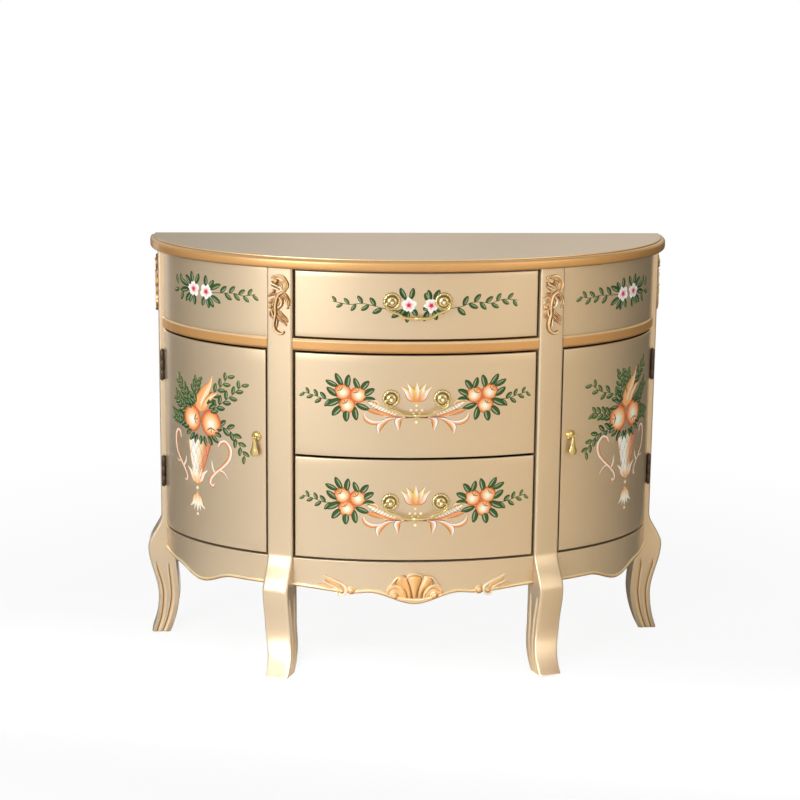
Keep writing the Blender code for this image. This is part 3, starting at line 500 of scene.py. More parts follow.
class Form:
    """Surface of one piece: closed tubes gathered as arrays, with values kept at each vertex."""

    def __init__(self, **defaults: float) -> None:
        """Start with nothing, and hold the values of points that are given none."""
        self.defaults = defaults or {"lift": 0.5, "gilt": 0.0}
        self.points: list[Array] = []
        self.quads: list[Array] = []
        self.triangles: list[Array] = []
        self.values: dict[str, list[Array]] = {}
        self.count = 0

    def loft(self, rings: Array, **values: Array) -> "Form":
        """Add a closed tube through rings of points, with its faces pointing out.

        The surface is a function of the station and of the place around. Each end closes in a fan
        about its middle, and a ring that has shrunk to a point is such a middle itself.

        Args:
            rings: points of shape (stations, around, 3).
            values: numbers (stations, around) or colours (stations, around, 3) of the points.

        Returns:
            The form itself.
        """
        values = {**{name: np.full((1, 1), value) for name, value in self.defaults.items()},
                  **values}
        middles = np.stack([rings[0].mean(0), rings[-1].mean(0)])
        shrunk = [bool(np.ptp(ring, axis=0).max() < 1e-7) for ring in (rings[0], rings[-1])]
        keep = slice(int(shrunk[0]), -1 if shrunk[1] else None)
        body = rings[keep]
        stations, around = body.shape[:2]
        index = np.arange(stations * around).reshape(stations, around)
        after = np.roll(index, -1, axis=1)
        quads = np.stack([index[:-1], after[:-1], after[1:], index[1:]], -1).reshape(-1, 4)
        first = np.full(around, stations * around)
        triangles = np.concatenate([np.stack([first, after[0], index[0]], -1),
                                    np.stack([first + 1, index[-1], after[-1]], -1)])
        points = np.concatenate([body.reshape(-1, 3), middles])
        split = np.concatenate([quads[:, [0, 1, 2]], quads[:, [0, 2, 3]], triangles])
        a, b, c = (points[split[:, corner]] - middles[0] for corner in range(3))
        if np.einsum("ij,ij->", a, np.cross(b, c)) < 0:
            quads, triangles = quads[:, ::-1], triangles[:, ::-1]
        self.points.append(points)
        self.quads.append(quads + self.count)
        self.triangles.append(triangles + self.count)
        for name, value in values.items():
            full = np.broadcast_to(value, rings.shape[:2] + np.shape(value)[2:])
            ends = np.stack([full[0].mean(0), full[-1].mean(0)])
            self.values.setdefault(name, []).append(
                np.concatenate([full[keep].reshape((-1,) + full.shape[2:]), ends]))
        self.count += len(points)
        return self

    def mesh(self, name: str, sharp: float) -> bpy.types.Mesh:
        """Mesh of the gathered faces and values, with sharp edges past an angle in degrees.

        Args:
            name: the mesh's name.
            sharp: angle in degrees.

        Returns:
            The mesh.
        """
        quads, triangles = np.concatenate(self.quads), np.concatenate(self.triangles)
        starts = np.concatenate([4 * np.arange(len(quads)),
                                 4 * len(quads) + 3 * np.arange(len(triangles))])
        points = np.concatenate(self.points).astype(np.float32)
        corners = np.concatenate([quads.ravel(), triangles.ravel()]).astype(np.int32)
        mesh = bpy.data.meshes.new(name)
        for layer, count, label, data in (
                (mesh.vertices, len(points), "co", points.ravel()),
                (mesh.loops, len(corners), "vertex_index", corners),
                (mesh.polygons, len(starts), "loop_start", starts.astype(np.int32))):
            layer.add(count)
            layer.foreach_set(label, data)
        mesh.update(calc_edges=True)
        for label, parts in self.values.items():
            data = np.concatenate(parts)
            kind, key = "FLOAT", "value"
            if data.ndim == 2:
                kind, key = "FLOAT_COLOR", "color"
                data = np.concatenate([data, np.ones((len(data), 1))], axis=1)
            layer = mesh.attributes.new(label, kind, "POINT")
            layer.data.foreach_set(key, data.astype(np.float32).ravel())
        mesh.shade_smooth()
        mesh.set_sharp_from_angle(angle=np.radians(sharp))
        return mesh

    def install(self, name: str, look: Look, body: str, *nodes: str, sharp: float = 35.0) -> None:
        """Make the object, at the origin, and let it ride on its body.

        Args:
            name: the piece's name.
            look: its material and slot; only the material is used here.
            body: name of the body.
            nodes: CAD nodes that it stands for.
            sharp: angle in degrees past which an edge stays sharp.
        """
        thing = bpy.data.objects.new(name, self.mesh(name, sharp))
        thing.data.materials.append(look.material)
        bpy.context.scene.collection.objects.link(thing)
        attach(thing, body)
        if nodes:
            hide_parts(*nodes)
        LOG.info("%s: %d faces on %s", name, len(thing.data.polygons), body)


# Plan of the cabinet


@dataclass(frozen=True)
class Plan:
    """Half ellipse that the front follows, and the places of the joints along it.

    Angles are in radians, 0 at the right end and pi at the left end. A place along the front is
    the length of curve from its middle, positive to the right.
    """

    half_width: float = 0.519
    depth: float = 0.325
    centre_y: float = 0.165544
    back_y: float = 0.183044
    drawer_half_width: float = 0.242
    reveal: float = 0.004
    fit_gap: float = 0.0003
    stile_width: float = 0.055
    back_stile_width: float = 0.064
    stile_proud: float = 0.006
    hinge_edge_gap: float = 0.0031
    samples: int = 4001

    @cached_property
    def table(self) -> tuple[Array, Array]:
        """Angles from the left end to the right end, and the places along the front.

        Returns:
            The angles and the places, as rows of one length.
        """
        angles = np.linspace(np.pi, 0.0, self.samples)
        steps = np.hypot(np.diff(self.half_width * np.cos(angles)),
                         np.diff(self.depth * np.sin(angles)))
        lengths = np.concatenate([[0.0], np.cumsum(steps)])
        return angles, lengths - lengths[-1] / 2

    def angle(self, along: Array) -> Array:
        """Angle of a place along the front."""
        return np.interp(along, self.table[1], self.table[0])

    def along(self, angle: Array) -> Array:
        """Place along the front of an angle."""
        return np.interp(angle, self.table[0][::-1], self.table[1][::-1])

    def normals(self, along: Array) -> Array:
        """Outward unit vectors in plan at places along the front."""
        angle = self.angle(along)
        lean = np.stack([self.depth * np.cos(angle), -self.half_width * np.sin(angle)], axis=-1)
        return lean / np.linalg.norm(lean, axis=-1, keepdims=True)

    def place(self, along: Array, out: Array, level: Array, lean: Optional[Array] = None) -> Array:
        """Points off the face of the front.

        Args:
            along: places along the front.
            out: distances out from the face.
            level: heights.
            lean: plan directions of the distances, the normals if left out.

        Returns:
            The points, with their coordinates on a last axis.
        """
        lean = self.normals(along) if lean is None else lean
        angle = self.angle(along)
        x = self.half_width * np.cos(angle) + out * lean[..., 0]
        y = self.centre_y - self.depth * np.sin(angle) + out * lean[..., 1]
        return np.stack(np.broadcast_arrays(x, y, level), axis=-1)

    def turned(self, angle: float, length: float) -> float:
        """Angle reached by a short length along the curve, towards the left end."""
        speed = np.hypot(self.half_width * np.sin(angle), self.depth * np.cos(angle))
        return float(angle + length / speed)

    def stop(self, angle: float, length: float) -> float:
        """Place along the front that lies a short length to the left of an angle."""
        return float(self.along(self.turned(angle, length)))

    @cached_property
    def leg_inner(self) -> float:
        """Angle of a front leg's side towards the drawers."""
        return self.turned(np.arccos(self.drawer_half_width / self.half_width), -self.reveal)

    @cached_property
    def leg_outer(self) -> float:
        """Angle of a front leg's side towards the door."""
        return self.turned(self.leg_inner, -self.stile_width)

    @cached_property
    def back_leg(self) -> float:
        """Angle of a back leg's side towards the door."""
        return float(np.arcsin((self.centre_y - self.back_leg_y) / self.depth))

    @property
    def back_leg_y(self) -> float:
        """Y of a back leg's side towards the door."""
        return self.back_y - self.back_stile_width

    @cached_property
    def leg_corners(self) -> Array:
        """Plan points where a right front leg meets the curve, inner one first."""
        places = self.along(np.array([self.leg_inner, self.leg_outer]))
        return self.place(places, np.zeros(2), np.zeros(2))[:, :2]

    @cached_property
    def leg_across(self) -> Array:
        """Plan direction across a right front leg, away from the middle."""
        chord = self.leg_corners[1] - self.leg_corners[0]
        return chord / np.linalg.norm(chord)

    @cached_property
    def leg_out(self) -> Array:
        """Plan direction that a right front leg faces."""
        return np.array([self.leg_across[1], -self.leg_across[0]])


PLAN = Plan()


# Bowed panels


@dataclass(frozen=True)
class Panel:
    """Bowed board between two places along the front, with all its outer edges rounded."""

    start: float
    end: float
    low: float
    high: float
    thickness: float
    radius: float
    start_lean: tuple[float, float]
    end_lean: tuple[float, float]
    lean_reach: float = 0.020
    steps: int = 120
    level_steps: int = 14
    edge_steps: int = 5

    @classmethod
    def of(cls, node: str, thickness: float, radius: float, inner_gap: float,
           outer_gap: Optional[float] = None) -> "Panel":
        """Panel as high as a node, on the right side or, without an outer gap, in the middle.

        Args:
            node: CAD node that it stands for.
            thickness, radius: measures of the board and of its edges.
            inner_gap: room beside the front leg.
            outer_gap: room beside the back leg.

        Returns:
            The panel.
        """
        low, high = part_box(node)
        out = tuple(PLAN.leg_out)
        if outer_gap is None:
            end = PLAN.stop(PLAN.leg_inner, inner_gap)
            return cls(-end, end, low.z, high.z, thickness, radius, (-out[0], out[1]), out)
        return cls(PLAN.stop(PLAN.leg_outer, -inner_gap), PLAN.stop(PLAN.back_leg, outer_gap),
                   low.z, high.z, thickness, radius, out, (1.0, 0.0))

    def places(self) -> Array:
        """Places of the rings along the front."""
        return spread(self.start, self.end, self.radius, self.edge_steps, self.steps)

    def levels(self) -> Array:
        """Heights of the rings' points on the face."""
        return spread(self.low, self.high, self.radius, self.edge_steps, self.level_steps)

    def leans(self, along: Array) -> Array:
        """Plan directions of the depth: the normals, turning to the legs' sides at the ends.

        Args:
            along: places along the front.

        Returns:
            Unit vectors.
        """
        lean = PLAN.normals(along)
        ends = ((self.start_lean, along - self.start), (self.end_lean, self.end - along))
        for target, distance in ends:
            share = ease(1.0, 0.0, distance / self.lean_reach)[:, None]
            lean = lean + (np.array(target) - lean) * share
        return lean / np.linalg.norm(lean, axis=-1, keepdims=True)

    def rings(self) -> Array:
        """Rings of the board.

        The face is a function of the place along and of the height: it drops by the rounding of
        the distances to the four edges. Four more points make the back.

        Returns:
            Points of shape (stations, around, 3).
        """
        along, levels = self.places()[:, None], self.levels()
        distances = (np.minimum(along - self.start, self.end - along),
                     np.minimum(levels - self.low, self.high - levels)[None, :])
        out = np.concatenate([-rounding(distances, self.radius),
                              np.full((len(along), 4), -self.thickness)], axis=1)
        back = [self.high, self.high - self.radius, self.low + self.radius, self.low]
        return PLAN.place(along, out, np.concatenate([levels, back])[None, :],
                          self.leans(along[:, 0])[:, None, :])

    def lift(self) -> Array:
        """Relief tone of the board: plain on the face and the back, and dark on the sides as
        painted shade in the gaps.

        Returns:
            Tones of the rings' points.
        """
        face = len(self.levels())
        lift = np.full((len(self.places()), face + 4), 0.5)
        lift[[0, -1], :] = 0.0
        lift[:, [0, face - 1, face, -1]] = 0.0
        return lift


def boards(kind: str, thickness: float, radius: float) -> Iterable[tuple[str, int, Panel]]:
    """Node, side and panel of the centre, the left and the right board of one kind.

    Args:
        kind: first word of the nodes' names.
        thickness, radius: measures of the boards and of their edges.

    Returns:
        The boards, one after the other.
    """
    node = f"{kind}_centre"
    yield node, 1, Panel.of(node, thickness, radius, PLAN.fit_gap)
    for side, label in SIDES:
        node = f"{kind}_{label}"
        yield node, side, Panel.of(node, thickness, radius, PLAN.fit_gap, PLAN.fit_gap)


@dataclass
class Fronts:
    """Drawer fronts, doors and friezes: the lacquered bowed panels."""

    finishes: Finishes
    front_thickness: float = 0.019
    door_thickness: float = 0.018
    frieze_thickness: float = 0.015
    edge_radius: float = 0.0026
    frieze_radius: float = 0.0006

    def build(self) -> None:
        """Build every bowed panel."""
        front = (self.front_thickness, self.edge_radius, PLAN.reveal)
        door = (self.door_thickness, self.edge_radius, PLAN.reveal, PLAN.hinge_edge_gap)
        frieze = (self.frieze_thickness, self.frieze_radius, PLAN.fit_gap, PLAN.fit_gap)
        panels = [(f"drawer_front_{label}", f"drawer_{label}", 1, front) for label in DRAWERS]
        panels += [(f"door_{label}", f"door_{label}", side, door) for side, label in SIDES]
        panels += [(f"frieze_{label}", "carcass", side, frieze) for side, label in SIDES]
        for node, body, side, sizes in panels:
            panel = Panel.of(node, *sizes)
            form = Form().loft(mirrored(panel.rings(), side), lift=panel.lift())
            form.install(node + "_panel", self.finishes.lacquer, body, node)


@dataclass
class Rails:
    """Moulded gilt rails: a proud band between two small coves."""

    finishes: Finishes
    thickness: float = 0.020
    proud: float = 0.0025
    cove: float = 0.0045
    steps: int = 90
    level_steps: int = 33

    def rings(self, panel: Panel) -> Array:
        """Rings of a rail. The face rises from the coves as a quarter sine on each side.

        Args:
            panel: ends and heights of the rail.

        Returns:
            Points of shape (stations, around, 3).
        """
        along = np.linspace(panel.start, panel.end, self.steps)[:, None]
        levels = np.linspace(panel.low, panel.high, self.level_steps)
        edge = unit(np.minimum(levels - panel.low, panel.high - levels) / self.cove)
        face = self.proud * np.sin(edge * np.pi / 2) ** 2
        out = np.concatenate([face, [-self.thickness, -self.thickness]])[None, :]
        level = np.concatenate([levels, [panel.high, panel.low]])[None, :]
        return PLAN.place(along, out, level, panel.leans(along[:, 0])[:, None, :])

    def build(self) -> None:
        """Build the rails, with painted shade in the lower cove and on the back, and a painted
        highlight along the upper cove.
        """
        share = np.linspace(0.0, 1.0, self.level_steps)
        lift = 0.5 + 0.45 * bell(share, 0.90, 0.07) - 0.30 * bell(share, 0.0, 0.12)
        lift = np.concatenate([lift, [0.0, 0.0]])[None, :]
        for node, side, panel in boards("rail", self.thickness, self.proud):
            form = Form().loft(mirrored(self.rings(panel), side), lift=lift)
            form.install(node + "_moulding", self.finishes.gilt_band, "carcass", node)


@dataclass
class Aprons:
    """Scalloped boards under the drawers and doors, with a gilt bead along the lower edge."""

    finishes: Finishes
    top: float = 0.2395
    thickness: float = 0.018
    drop: float = 0.060
    end_dip: float = 0.008
    pendant: float = 0.0285
    pendant_reach: float = 0.100
    side_drop: float = 0.060
    side_pendant: float = 0.021
    side_pendant_place: float = 0.53
    side_pendant_width: float = 0.50
    side_rise: float = 0.010
    side_rise_share: float = 0.35
    bead_radius: float = 0.0037
    edge_radius: float = 0.0012

    def centre_edge(self, along: Array) -> Array:
        """Height of the middle apron's lower edge: two shallow waves and a cosine pendant.

        Args:
            along: places along the front.

        Returns:
            Heights.
        """
        x = np.abs(PLAN.place(along, 0.0, 0.0)[..., 0])
        share = np.minimum(x / PLAN.leg_corners[0, 0], 1.0)
        wave = self.end_dip * (1 - np.cos(2 * np.pi * share)) / 2 * np.minimum(2 * share, 1.0)
        reach = np.minimum(x / self.pendant_reach, 1.0)
        return self.top - self.drop - wave - self.pendant * (1 + np.cos(np.pi * reach)) / 2

    def side_edge(self, along: Array) -> Array:
        """Height of a side apron's lower edge: one pendant and a rise to the back knee.

        Args:
            along: places along the front.

        Returns:
            Heights.
        """
        share = (PLAN.angle(along) - PLAN.back_leg) / (PLAN.leg_outer - PLAN.back_leg)
        turn = np.pi * (share - self.side_pendant_place) / self.side_pendant_width
        pendant = np.where(np.abs(turn) < np.pi / 2, self.side_pendant * np.cos(turn) ** 2, 0.0)
        rise = self.side_rise * ease(1.0, 0.0, share / self.side_rise_share)
        return self.top - self.side_drop - pendant + rise

    def board(self, along: Array, low: Array, panel: Panel) -> Array:
        """Rings of the board between its lower edge and the level top.

        Args:
            along, low: places and heights of the lower edge.
            panel: ends of the board.

        Returns:
            Points of shape (stations, around, 3).
        """
        share = spread(0.0, 1.0, 0.03, 4, 14)
        level = low[:, None] + share[None, :] * (self.top - low)[:, None]
        face = -rounding((self.top - level,), self.edge_radius)
        out = np.concatenate([face, np.full((len(along), 2), -self.thickness)], axis=1)
        level = np.concatenate([level, level[:, -1:], level[:, :1]], axis=1)
        return PLAN.place(along[:, None], out, level, panel.leans(along)[:, None, :])

    def bead(self, along: Array, low: Array, turn: Array) -> Array:
        """Rings of the round bead, square to the lower edge.

        Args:
            along, low: places and heights of the lower edge.
            turn: angles round the bead.

        Returns:
            Points of shape (stations, around, 3).
        """
        slope = np.gradient(low, along)[:, None]
        stand = np.sqrt(1 + slope ** 2)
        radius = self.bead_radius
        places = along[:, None] - radius * np.sin(turn) * slope / stand
        level = low[:, None] + radius * (1 + np.sin(turn) / stand)
        return PLAN.place(np.clip(places, along[0], along[-1]),
                          radius * np.cos(turn) - radius / 3, level)

    def build(self) -> None:
        """Build the middle apron and the two side aprons."""
        turn = circle(16)
        # The bead is pale on its upper half and dark on its lower half: a painted highlight and
        # painted shade.
        tone = np.clip(0.62 + 0.75 * np.sin(turn), 0.1, 1.0)
        for node, side, panel in boards("apron", self.thickness, self.edge_radius):
            along = np.linspace(panel.start, panel.end, 180)
            low = (self.centre_edge if node == "apron_centre" else self.side_edge)(along)
            form = Form().loft(mirrored(self.board(along, low, panel), side))
            form.loft(mirrored(self.bead(along, low, turn), side), gilt=np.ones((1, 1)), lift=tone)
            form.install(node + "_board", self.finishes.lacquer, "carcass", node)


# Top board


@dataclass
class TopBoard:
    """Half-round top: a flat champagne field inside a stepped and rounded gilt edge."""

    finishes: Finishes
    overhang: float = 0.022
    step_width: float = 0.009
    step_height: float = 0.003
    radius: float = 0.006
    fillet: float = 0.0008
    line_width: float = 0.0015

    def profile(self) -> tuple[Array, Array]:
        """Distances out from the edge line with their levels, and their relief tone.

        Quarter circles make the lower and the upper rounding and the small fillets of the step.

        Returns:
            Rows of distance and level, and their tones.
        """
        low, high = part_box("top_board")
        turn = quarter(9)
        small = turn[::2]
        shoulder = high.z - self.step_height
        inner = -self.step_width
        parts = [(-self.radius * (1 - np.sin(turn)), low.z + self.radius * (1 - np.cos(turn))),
                 (-self.radius * (1 - np.cos(turn)), shoulder - self.radius * (1 - np.sin(turn))),
                 (inner + self.fillet * (1 - np.sin(small)),
                  shoulder + self.fillet * (1 - np.cos(small))),
                 (inner - self.fillet * (1 - np.cos(small)),
                  high.z - self.fillet * (1 - np.sin(small))),
                 (inner - self.line_width * np.array([1.0, 1.2]), np.full(2, high.z))]
        share = np.linspace(0.0, 1.0, len(turn))
        # Painted shade darkens the lower rounding and the fillet of the step; painted highlights
        # pale the upper rounding and the crest.
        lift = [ease(0.0, 0.42, share), ease(0.5, 0.72, share), np.full(len(small), 0.34),
                np.full(len(small), 0.85), [0.5, 0.5]]
        return np.concatenate([np.stack(part, axis=1) for part in parts]), np.concatenate(lift)

    def build(self) -> None:
        """Loft the outline of the top through the profile and close it above and below."""
        steps, lift = self.profile()
        gilt = np.ones((len(steps), 1))
        gilt[-1] = 0.0
        along = PLAN.along(np.linspace(0.0, np.pi, 361))[None, :]
        curve = PLAN.place(along, self.overhang + steps[:, :1], steps[:, 1:])
        right, left = curve[:, :1].copy(), curve[:, -1:].copy()
        for corner in (right, left):
            corner[..., 1] = PLAN.back_y
        form = Form().loft(np.concatenate([right, curve, left], axis=1), gilt=gilt,
                           lift=lift[:, None])
        form.install("top_half_round", self.finishes.lacquer, "carcass", "top_board")


# Legs


@dataclass(frozen=True)
class Stance:
    """How far one kind of leg swings out at its knee, ankle and toe, and how its foot narrows."""

    knee_height: float
    knee_top: float
    knee_out: float
    ankle_out: float
    toe_out: float
    toe_in: float = 0.0
    narrowing: float = 0.0


@dataclass
class Legs:
    """Four cabriole legs, each with the stile above it and two gilt flutes on each side."""

    finishes: Finishes
    depth: float = 0.048
    corner: float = 0.005
    back_corner: float = 0.0015
    ankle_height: float = 0.083
    knee_depth: float = 0.058
    ankle_depth: float = 0.045
    toe_depth: float = 0.040
    toe_in_top: float = 0.095
    flute_width: float = 0.0104
    flute_sink: float = 0.0022
    flute_inset: float = 0.014
    flute_top: float = 0.158
    flute_fade: float = 0.020
    foot_round: float = 0.003
    face_crown: float = 0.0005
    front: Stance = Stance(0.170, 0.248, 0.036, 0.022, 0.064, 0.0135, 0.004)
    back: Stance = Stance(0.190, 0.262, 0.0348, 0.014, 0.030)

    def station(self, level: Array, stance: Stance) -> tuple[Array, Array]:
        """Outward shift and depth of a leg's section at each level.

        Args:
            level: heights.
            stance: how the leg swings out.

        Returns:
            The shifts and the depths.
        """
        over_knee = (level - stance.knee_height) / (stance.knee_top - stance.knee_height)
        rise = (level - self.ankle_height) / (stance.knee_height - self.ankle_height)
        fall = unit(1 - level / self.ankle_height)
        foot = stance.ankle_out + (stance.toe_out - stance.ankle_out) * fall ** 2
        foot_depth = self.ankle_depth + (self.toe_depth - self.ankle_depth) * fall
        zones = [level >= stance.knee_height, level < self.ankle_height]
        shift = np.select(zones, [ease(stance.knee_out, PLAN.stile_proud, over_knee), foot],
                          ease(stance.ankle_out, stance.knee_out, rise))
        return shift, np.select(zones, [ease(self.knee_depth, self.depth, over_knee), foot_depth],
                                ease(self.ankle_depth, self.knee_depth, rise))

    def side_profile(self, back: Array, depth: Array, level: Array) -> tuple[Array, Array, Array]:
        """Depth of the flutes, their gilding and their relief tone down one side.

        A flute is a groove with a steep wall towards the face and a long slope behind it. Its
        width shrinks to nothing as a half ellipse at the top.

        Args:
            back: distances back from the face.
            depth, level: depth of the leg at each height.

        Returns:
            The three arrays, of shape (levels, places).
        """
        fade = unit((level - self.flute_top + self.flute_fade) / self.flute_fade)
        share = np.sqrt(unit(1 - fade ** 2))
        sink = np.zeros(np.broadcast_shapes(back.shape, depth.shape))
        gilt, lift = np.zeros_like(sink), np.full_like(sink, 0.5)
        for centre in (self.flute_inset * np.ones_like(depth), depth - self.flute_inset):
            place = (back - centre) / (self.flute_width / 2 * np.maximum(share, 1e-3))
            groove = ease(0.0, 1.0, (place + 1) / 0.45) * ease(1.0, 0.0, (place + 0.55) / 1.55)
            groove = np.where(np.abs(place) < 1, groove, 0.0) * share
            sink = np.maximum(sink, groove)
            gilt = np.maximum(gilt, ease(0.0, 1.0, (groove - 0.25) / 0.35))
            # Painted shade in the groove beside its steep wall, and painted highlights on the lip
            # towards the face and on the long slope.
            for amount, middle, width in ((-0.42, -0.62, 0.20), (0.24, -1.15, 0.25),
                                          (0.30, 0.20, 0.45)):
                lift = lift + amount * bell(place, middle, width) * (share > 0.05)
        return self.flute_sink * sink, gilt, lift

    def levels(self, knee_top: float, top: float) -> Array:
        """Heights of the rings, close together in the foot's rounding and along the curves."""
        foot = self.foot_round * (1 - np.cos(quarter(6)))
        curve = np.linspace(self.foot_round, knee_top, 120)[1:]
        return np.concatenate([foot, curve, np.linspace(knee_top, top, 6)[1:]])

    def section(self, width: Array, depth: Array, level: Array) -> list[Array]:
        """Right half of the section as across and out values, gilding and relief tone.

        From the middle of the face it goes over the rounded corner, down the fluted side and round
        the small back corner to the middle of the back.

        Args:
            width, depth: size of the section at each height.
            level: heights.

        Returns:
            The four arrays, of shape (levels, points).
        """
        half = width / 2
        turn = quarter(7)[None, :]
        face = np.linspace(0.0, 1.0, 6)[None, :-1]
        drop = self.corner - self.face_crown
        share = np.linspace(0.0, 1.0, 54)[None, 1:-1]
        back = self.corner + share * (depth - self.corner - self.back_corner)
        sink, gilt, lift = self.side_profile(back, depth, level)
        small = turn[:, ::2]
        # The rounded corner's tone of 0.53 is a faint painted highlight.
        parts = ((face * (half - self.corner), -self.face_crown * face ** 2, 0.0, 0.5),
                 (half - self.corner * (1 - np.sin(turn)),
                  -self.face_crown - drop * (1 - np.cos(turn)), 0.0, 0.53),
                 (half - sink, -back, gilt, lift),
                 (half - self.back_corner * (1 - np.cos(small)),
                  -depth + self.back_corner * (1 - np.sin(small)), 0.0, 0.5))
        full = [np.broadcast_arrays(*part) for part in parts]
        return [np.concatenate(values, axis=1) for values in zip(*full)]

    def leg(self, node: str, middle: Array, across: Array, out: Array, width: float,
            stance: Stance) -> None:
        """Loft one leg from the floor to the top board.

        Args:
            node: CAD node that it stands for.
            middle: plan point in the middle of its face.
            across, out: plan directions.
            width: width of its stile.
            stance: how it swings out.
        """
        level = self.levels(stance.knee_top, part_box(node)[1].z)[:, None]
        shift, depth = self.station(level, stance)
        full = width - stance.narrowing * ease(1.0, 0.0, level / self.ankle_height)
        over, back, gilt, lift = self.section(full, depth, level)
        over = np.concatenate([over, -over[:, :0:-1]], axis=1)
        back, gilt, lift = (np.concatenate([half, half[:, :0:-1]], axis=1)
                            for half in (back, gilt, lift))
        pinch = rounding((level,), self.foot_round)
        over = over * (1 - 2 * pinch / full)
        back = -depth / 2 + (back + depth / 2) * (1 - 2 * pinch / depth)
        inward = stance.toe_in * ease(1.0, 0.0, level / self.toe_in_top)
        plan = middle + across * (over - inward)[..., None] + out * (shift + back)[..., None]
        heights = np.broadcast_to(level, over.shape)[..., None]
        form = Form().loft(np.concatenate([plan, heights], axis=-1), gilt=gilt, lift=lift)
        form.install(node + "_carved", self.finishes.lacquer, "carcass", node, sharp=50.0)

    def build(self) -> None:
        """Two front legs square to the curve and two back legs facing sideways."""
        corners = PLAN.leg_corners
        width = float(np.linalg.norm(corners[1] - corners[0]))
        for side, label in SIDES:
            flip = np.array([side, 1.0])
            self.leg(f"front_leg_{label}", corners.mean(0) * flip, PLAN.leg_across * flip,
                     PLAN.leg_out * flip, width, self.front)
            middle = np.array([PLAN.half_width * side, PLAN.back_y - PLAN.back_stile_width / 2])
            self.leg(f"back_leg_{label}", middle, np.array([0.0, 1.0]), np.array([side, 0.0]),
                     PLAN.back_stile_width, self.back)


# Raised strokes, for carving and for paint


class Section(Enum):
    """Shapes across a raised stroke, as functions of the place from -1 to 1 over its width."""

    RIDGE = "ridge"
    CHANNEL = "channel"
    LEAF = "leaf"
    LOBE = "lobe"
    RIM = "rim"

    def height(self, over: Array) -> Array:
        """Height over the width: half circle, hollow between rims, veined leaf or dished lobe.

        Args:
            over: places from -1 to 1.

        Returns:
            Heights, 1 at the most.
        """
        if self in (Section.RIDGE, Section.RIM):
            return np.sqrt(unit(1 - over ** 2))
        if self is Section.CHANNEL:
            return (1 - over ** 10) * (0.42 + 0.58 * over ** 2)
        if self is Section.LEAF:
            return (1 - over ** 6) * (0.70 - 0.30 * np.cos(3 * np.pi * over))
        return (1 - over ** 8) * (0.80 + 0.20 * np.cos(np.pi * over))

    def tone(self, over: Array) -> Array:
        """Relief tone over the width: painted shade at the edges, where the stroke meets its
        ground, and painted highlights on its crests and rims.

        Args:
            over: places from -1 to 1.

        Returns:
            Relief tones.
        """
        rim = np.abs(over)
        edge = 0.5 * unit((rim - 0.84) / 0.14)
        if self is Section.RIDGE:
            return 0.18 + 0.52 * (1 - over ** 4) + 0.26 * bell(over, 0.0, 0.30)
        if self is Section.RIM:
            return 0.45 + 0.55 * (1 - over ** 4)
        if self is Section.CHANNEL:
            return 0.42 + 0.46 * bell(rim, 0.72, 0.14) - edge
        if self is Section.LEAF:
            return 0.60 - 0.32 * np.cos(3 * np.pi * over) - 0.8 * edge
        return 0.54 - edge


class Relief:
    """Raised closed strokes on a surface, which a mapping from (across, up, out) places."""

    def __init__(self, mapping: Mapping, **defaults: float) -> None:
        """Hold the mapping, and start a form with its default values."""
        self.mapping = mapping
        self.flip = 1.0
        self.form = Form(**defaults)

    def lay(self, across: Array, up: Array, out: Array, **values: Array) -> None:
        """Add one closed form given in the surface's own measures."""
        self.form.loft(self.mapping(self.flip * across, up, out), **values)

    def centre_line(self, path: Path, count: int) -> tuple[Array, Array, Array]:
        """Points, sideways unit vectors and half widths of a stroke, with rounded ends.

        Args:
            path: rows of across, up and half width.
            count: number of stations.

        Returns:
            The three arrays.
        """
        points = smooth_path(path, count)
        run = run_of(points[:, :2])
        near = unit(run / max(points[0, 2], 1e-6))
        far = unit((run[-1] - run) / max(points[-1, 2], 1e-6))
        cap = np.sqrt(1 - (1 - near) ** 2) * np.sqrt(1 - (1 - far) ** 2)
        return points, sideways_of(points[:, :2]), points[:, 2] * cap


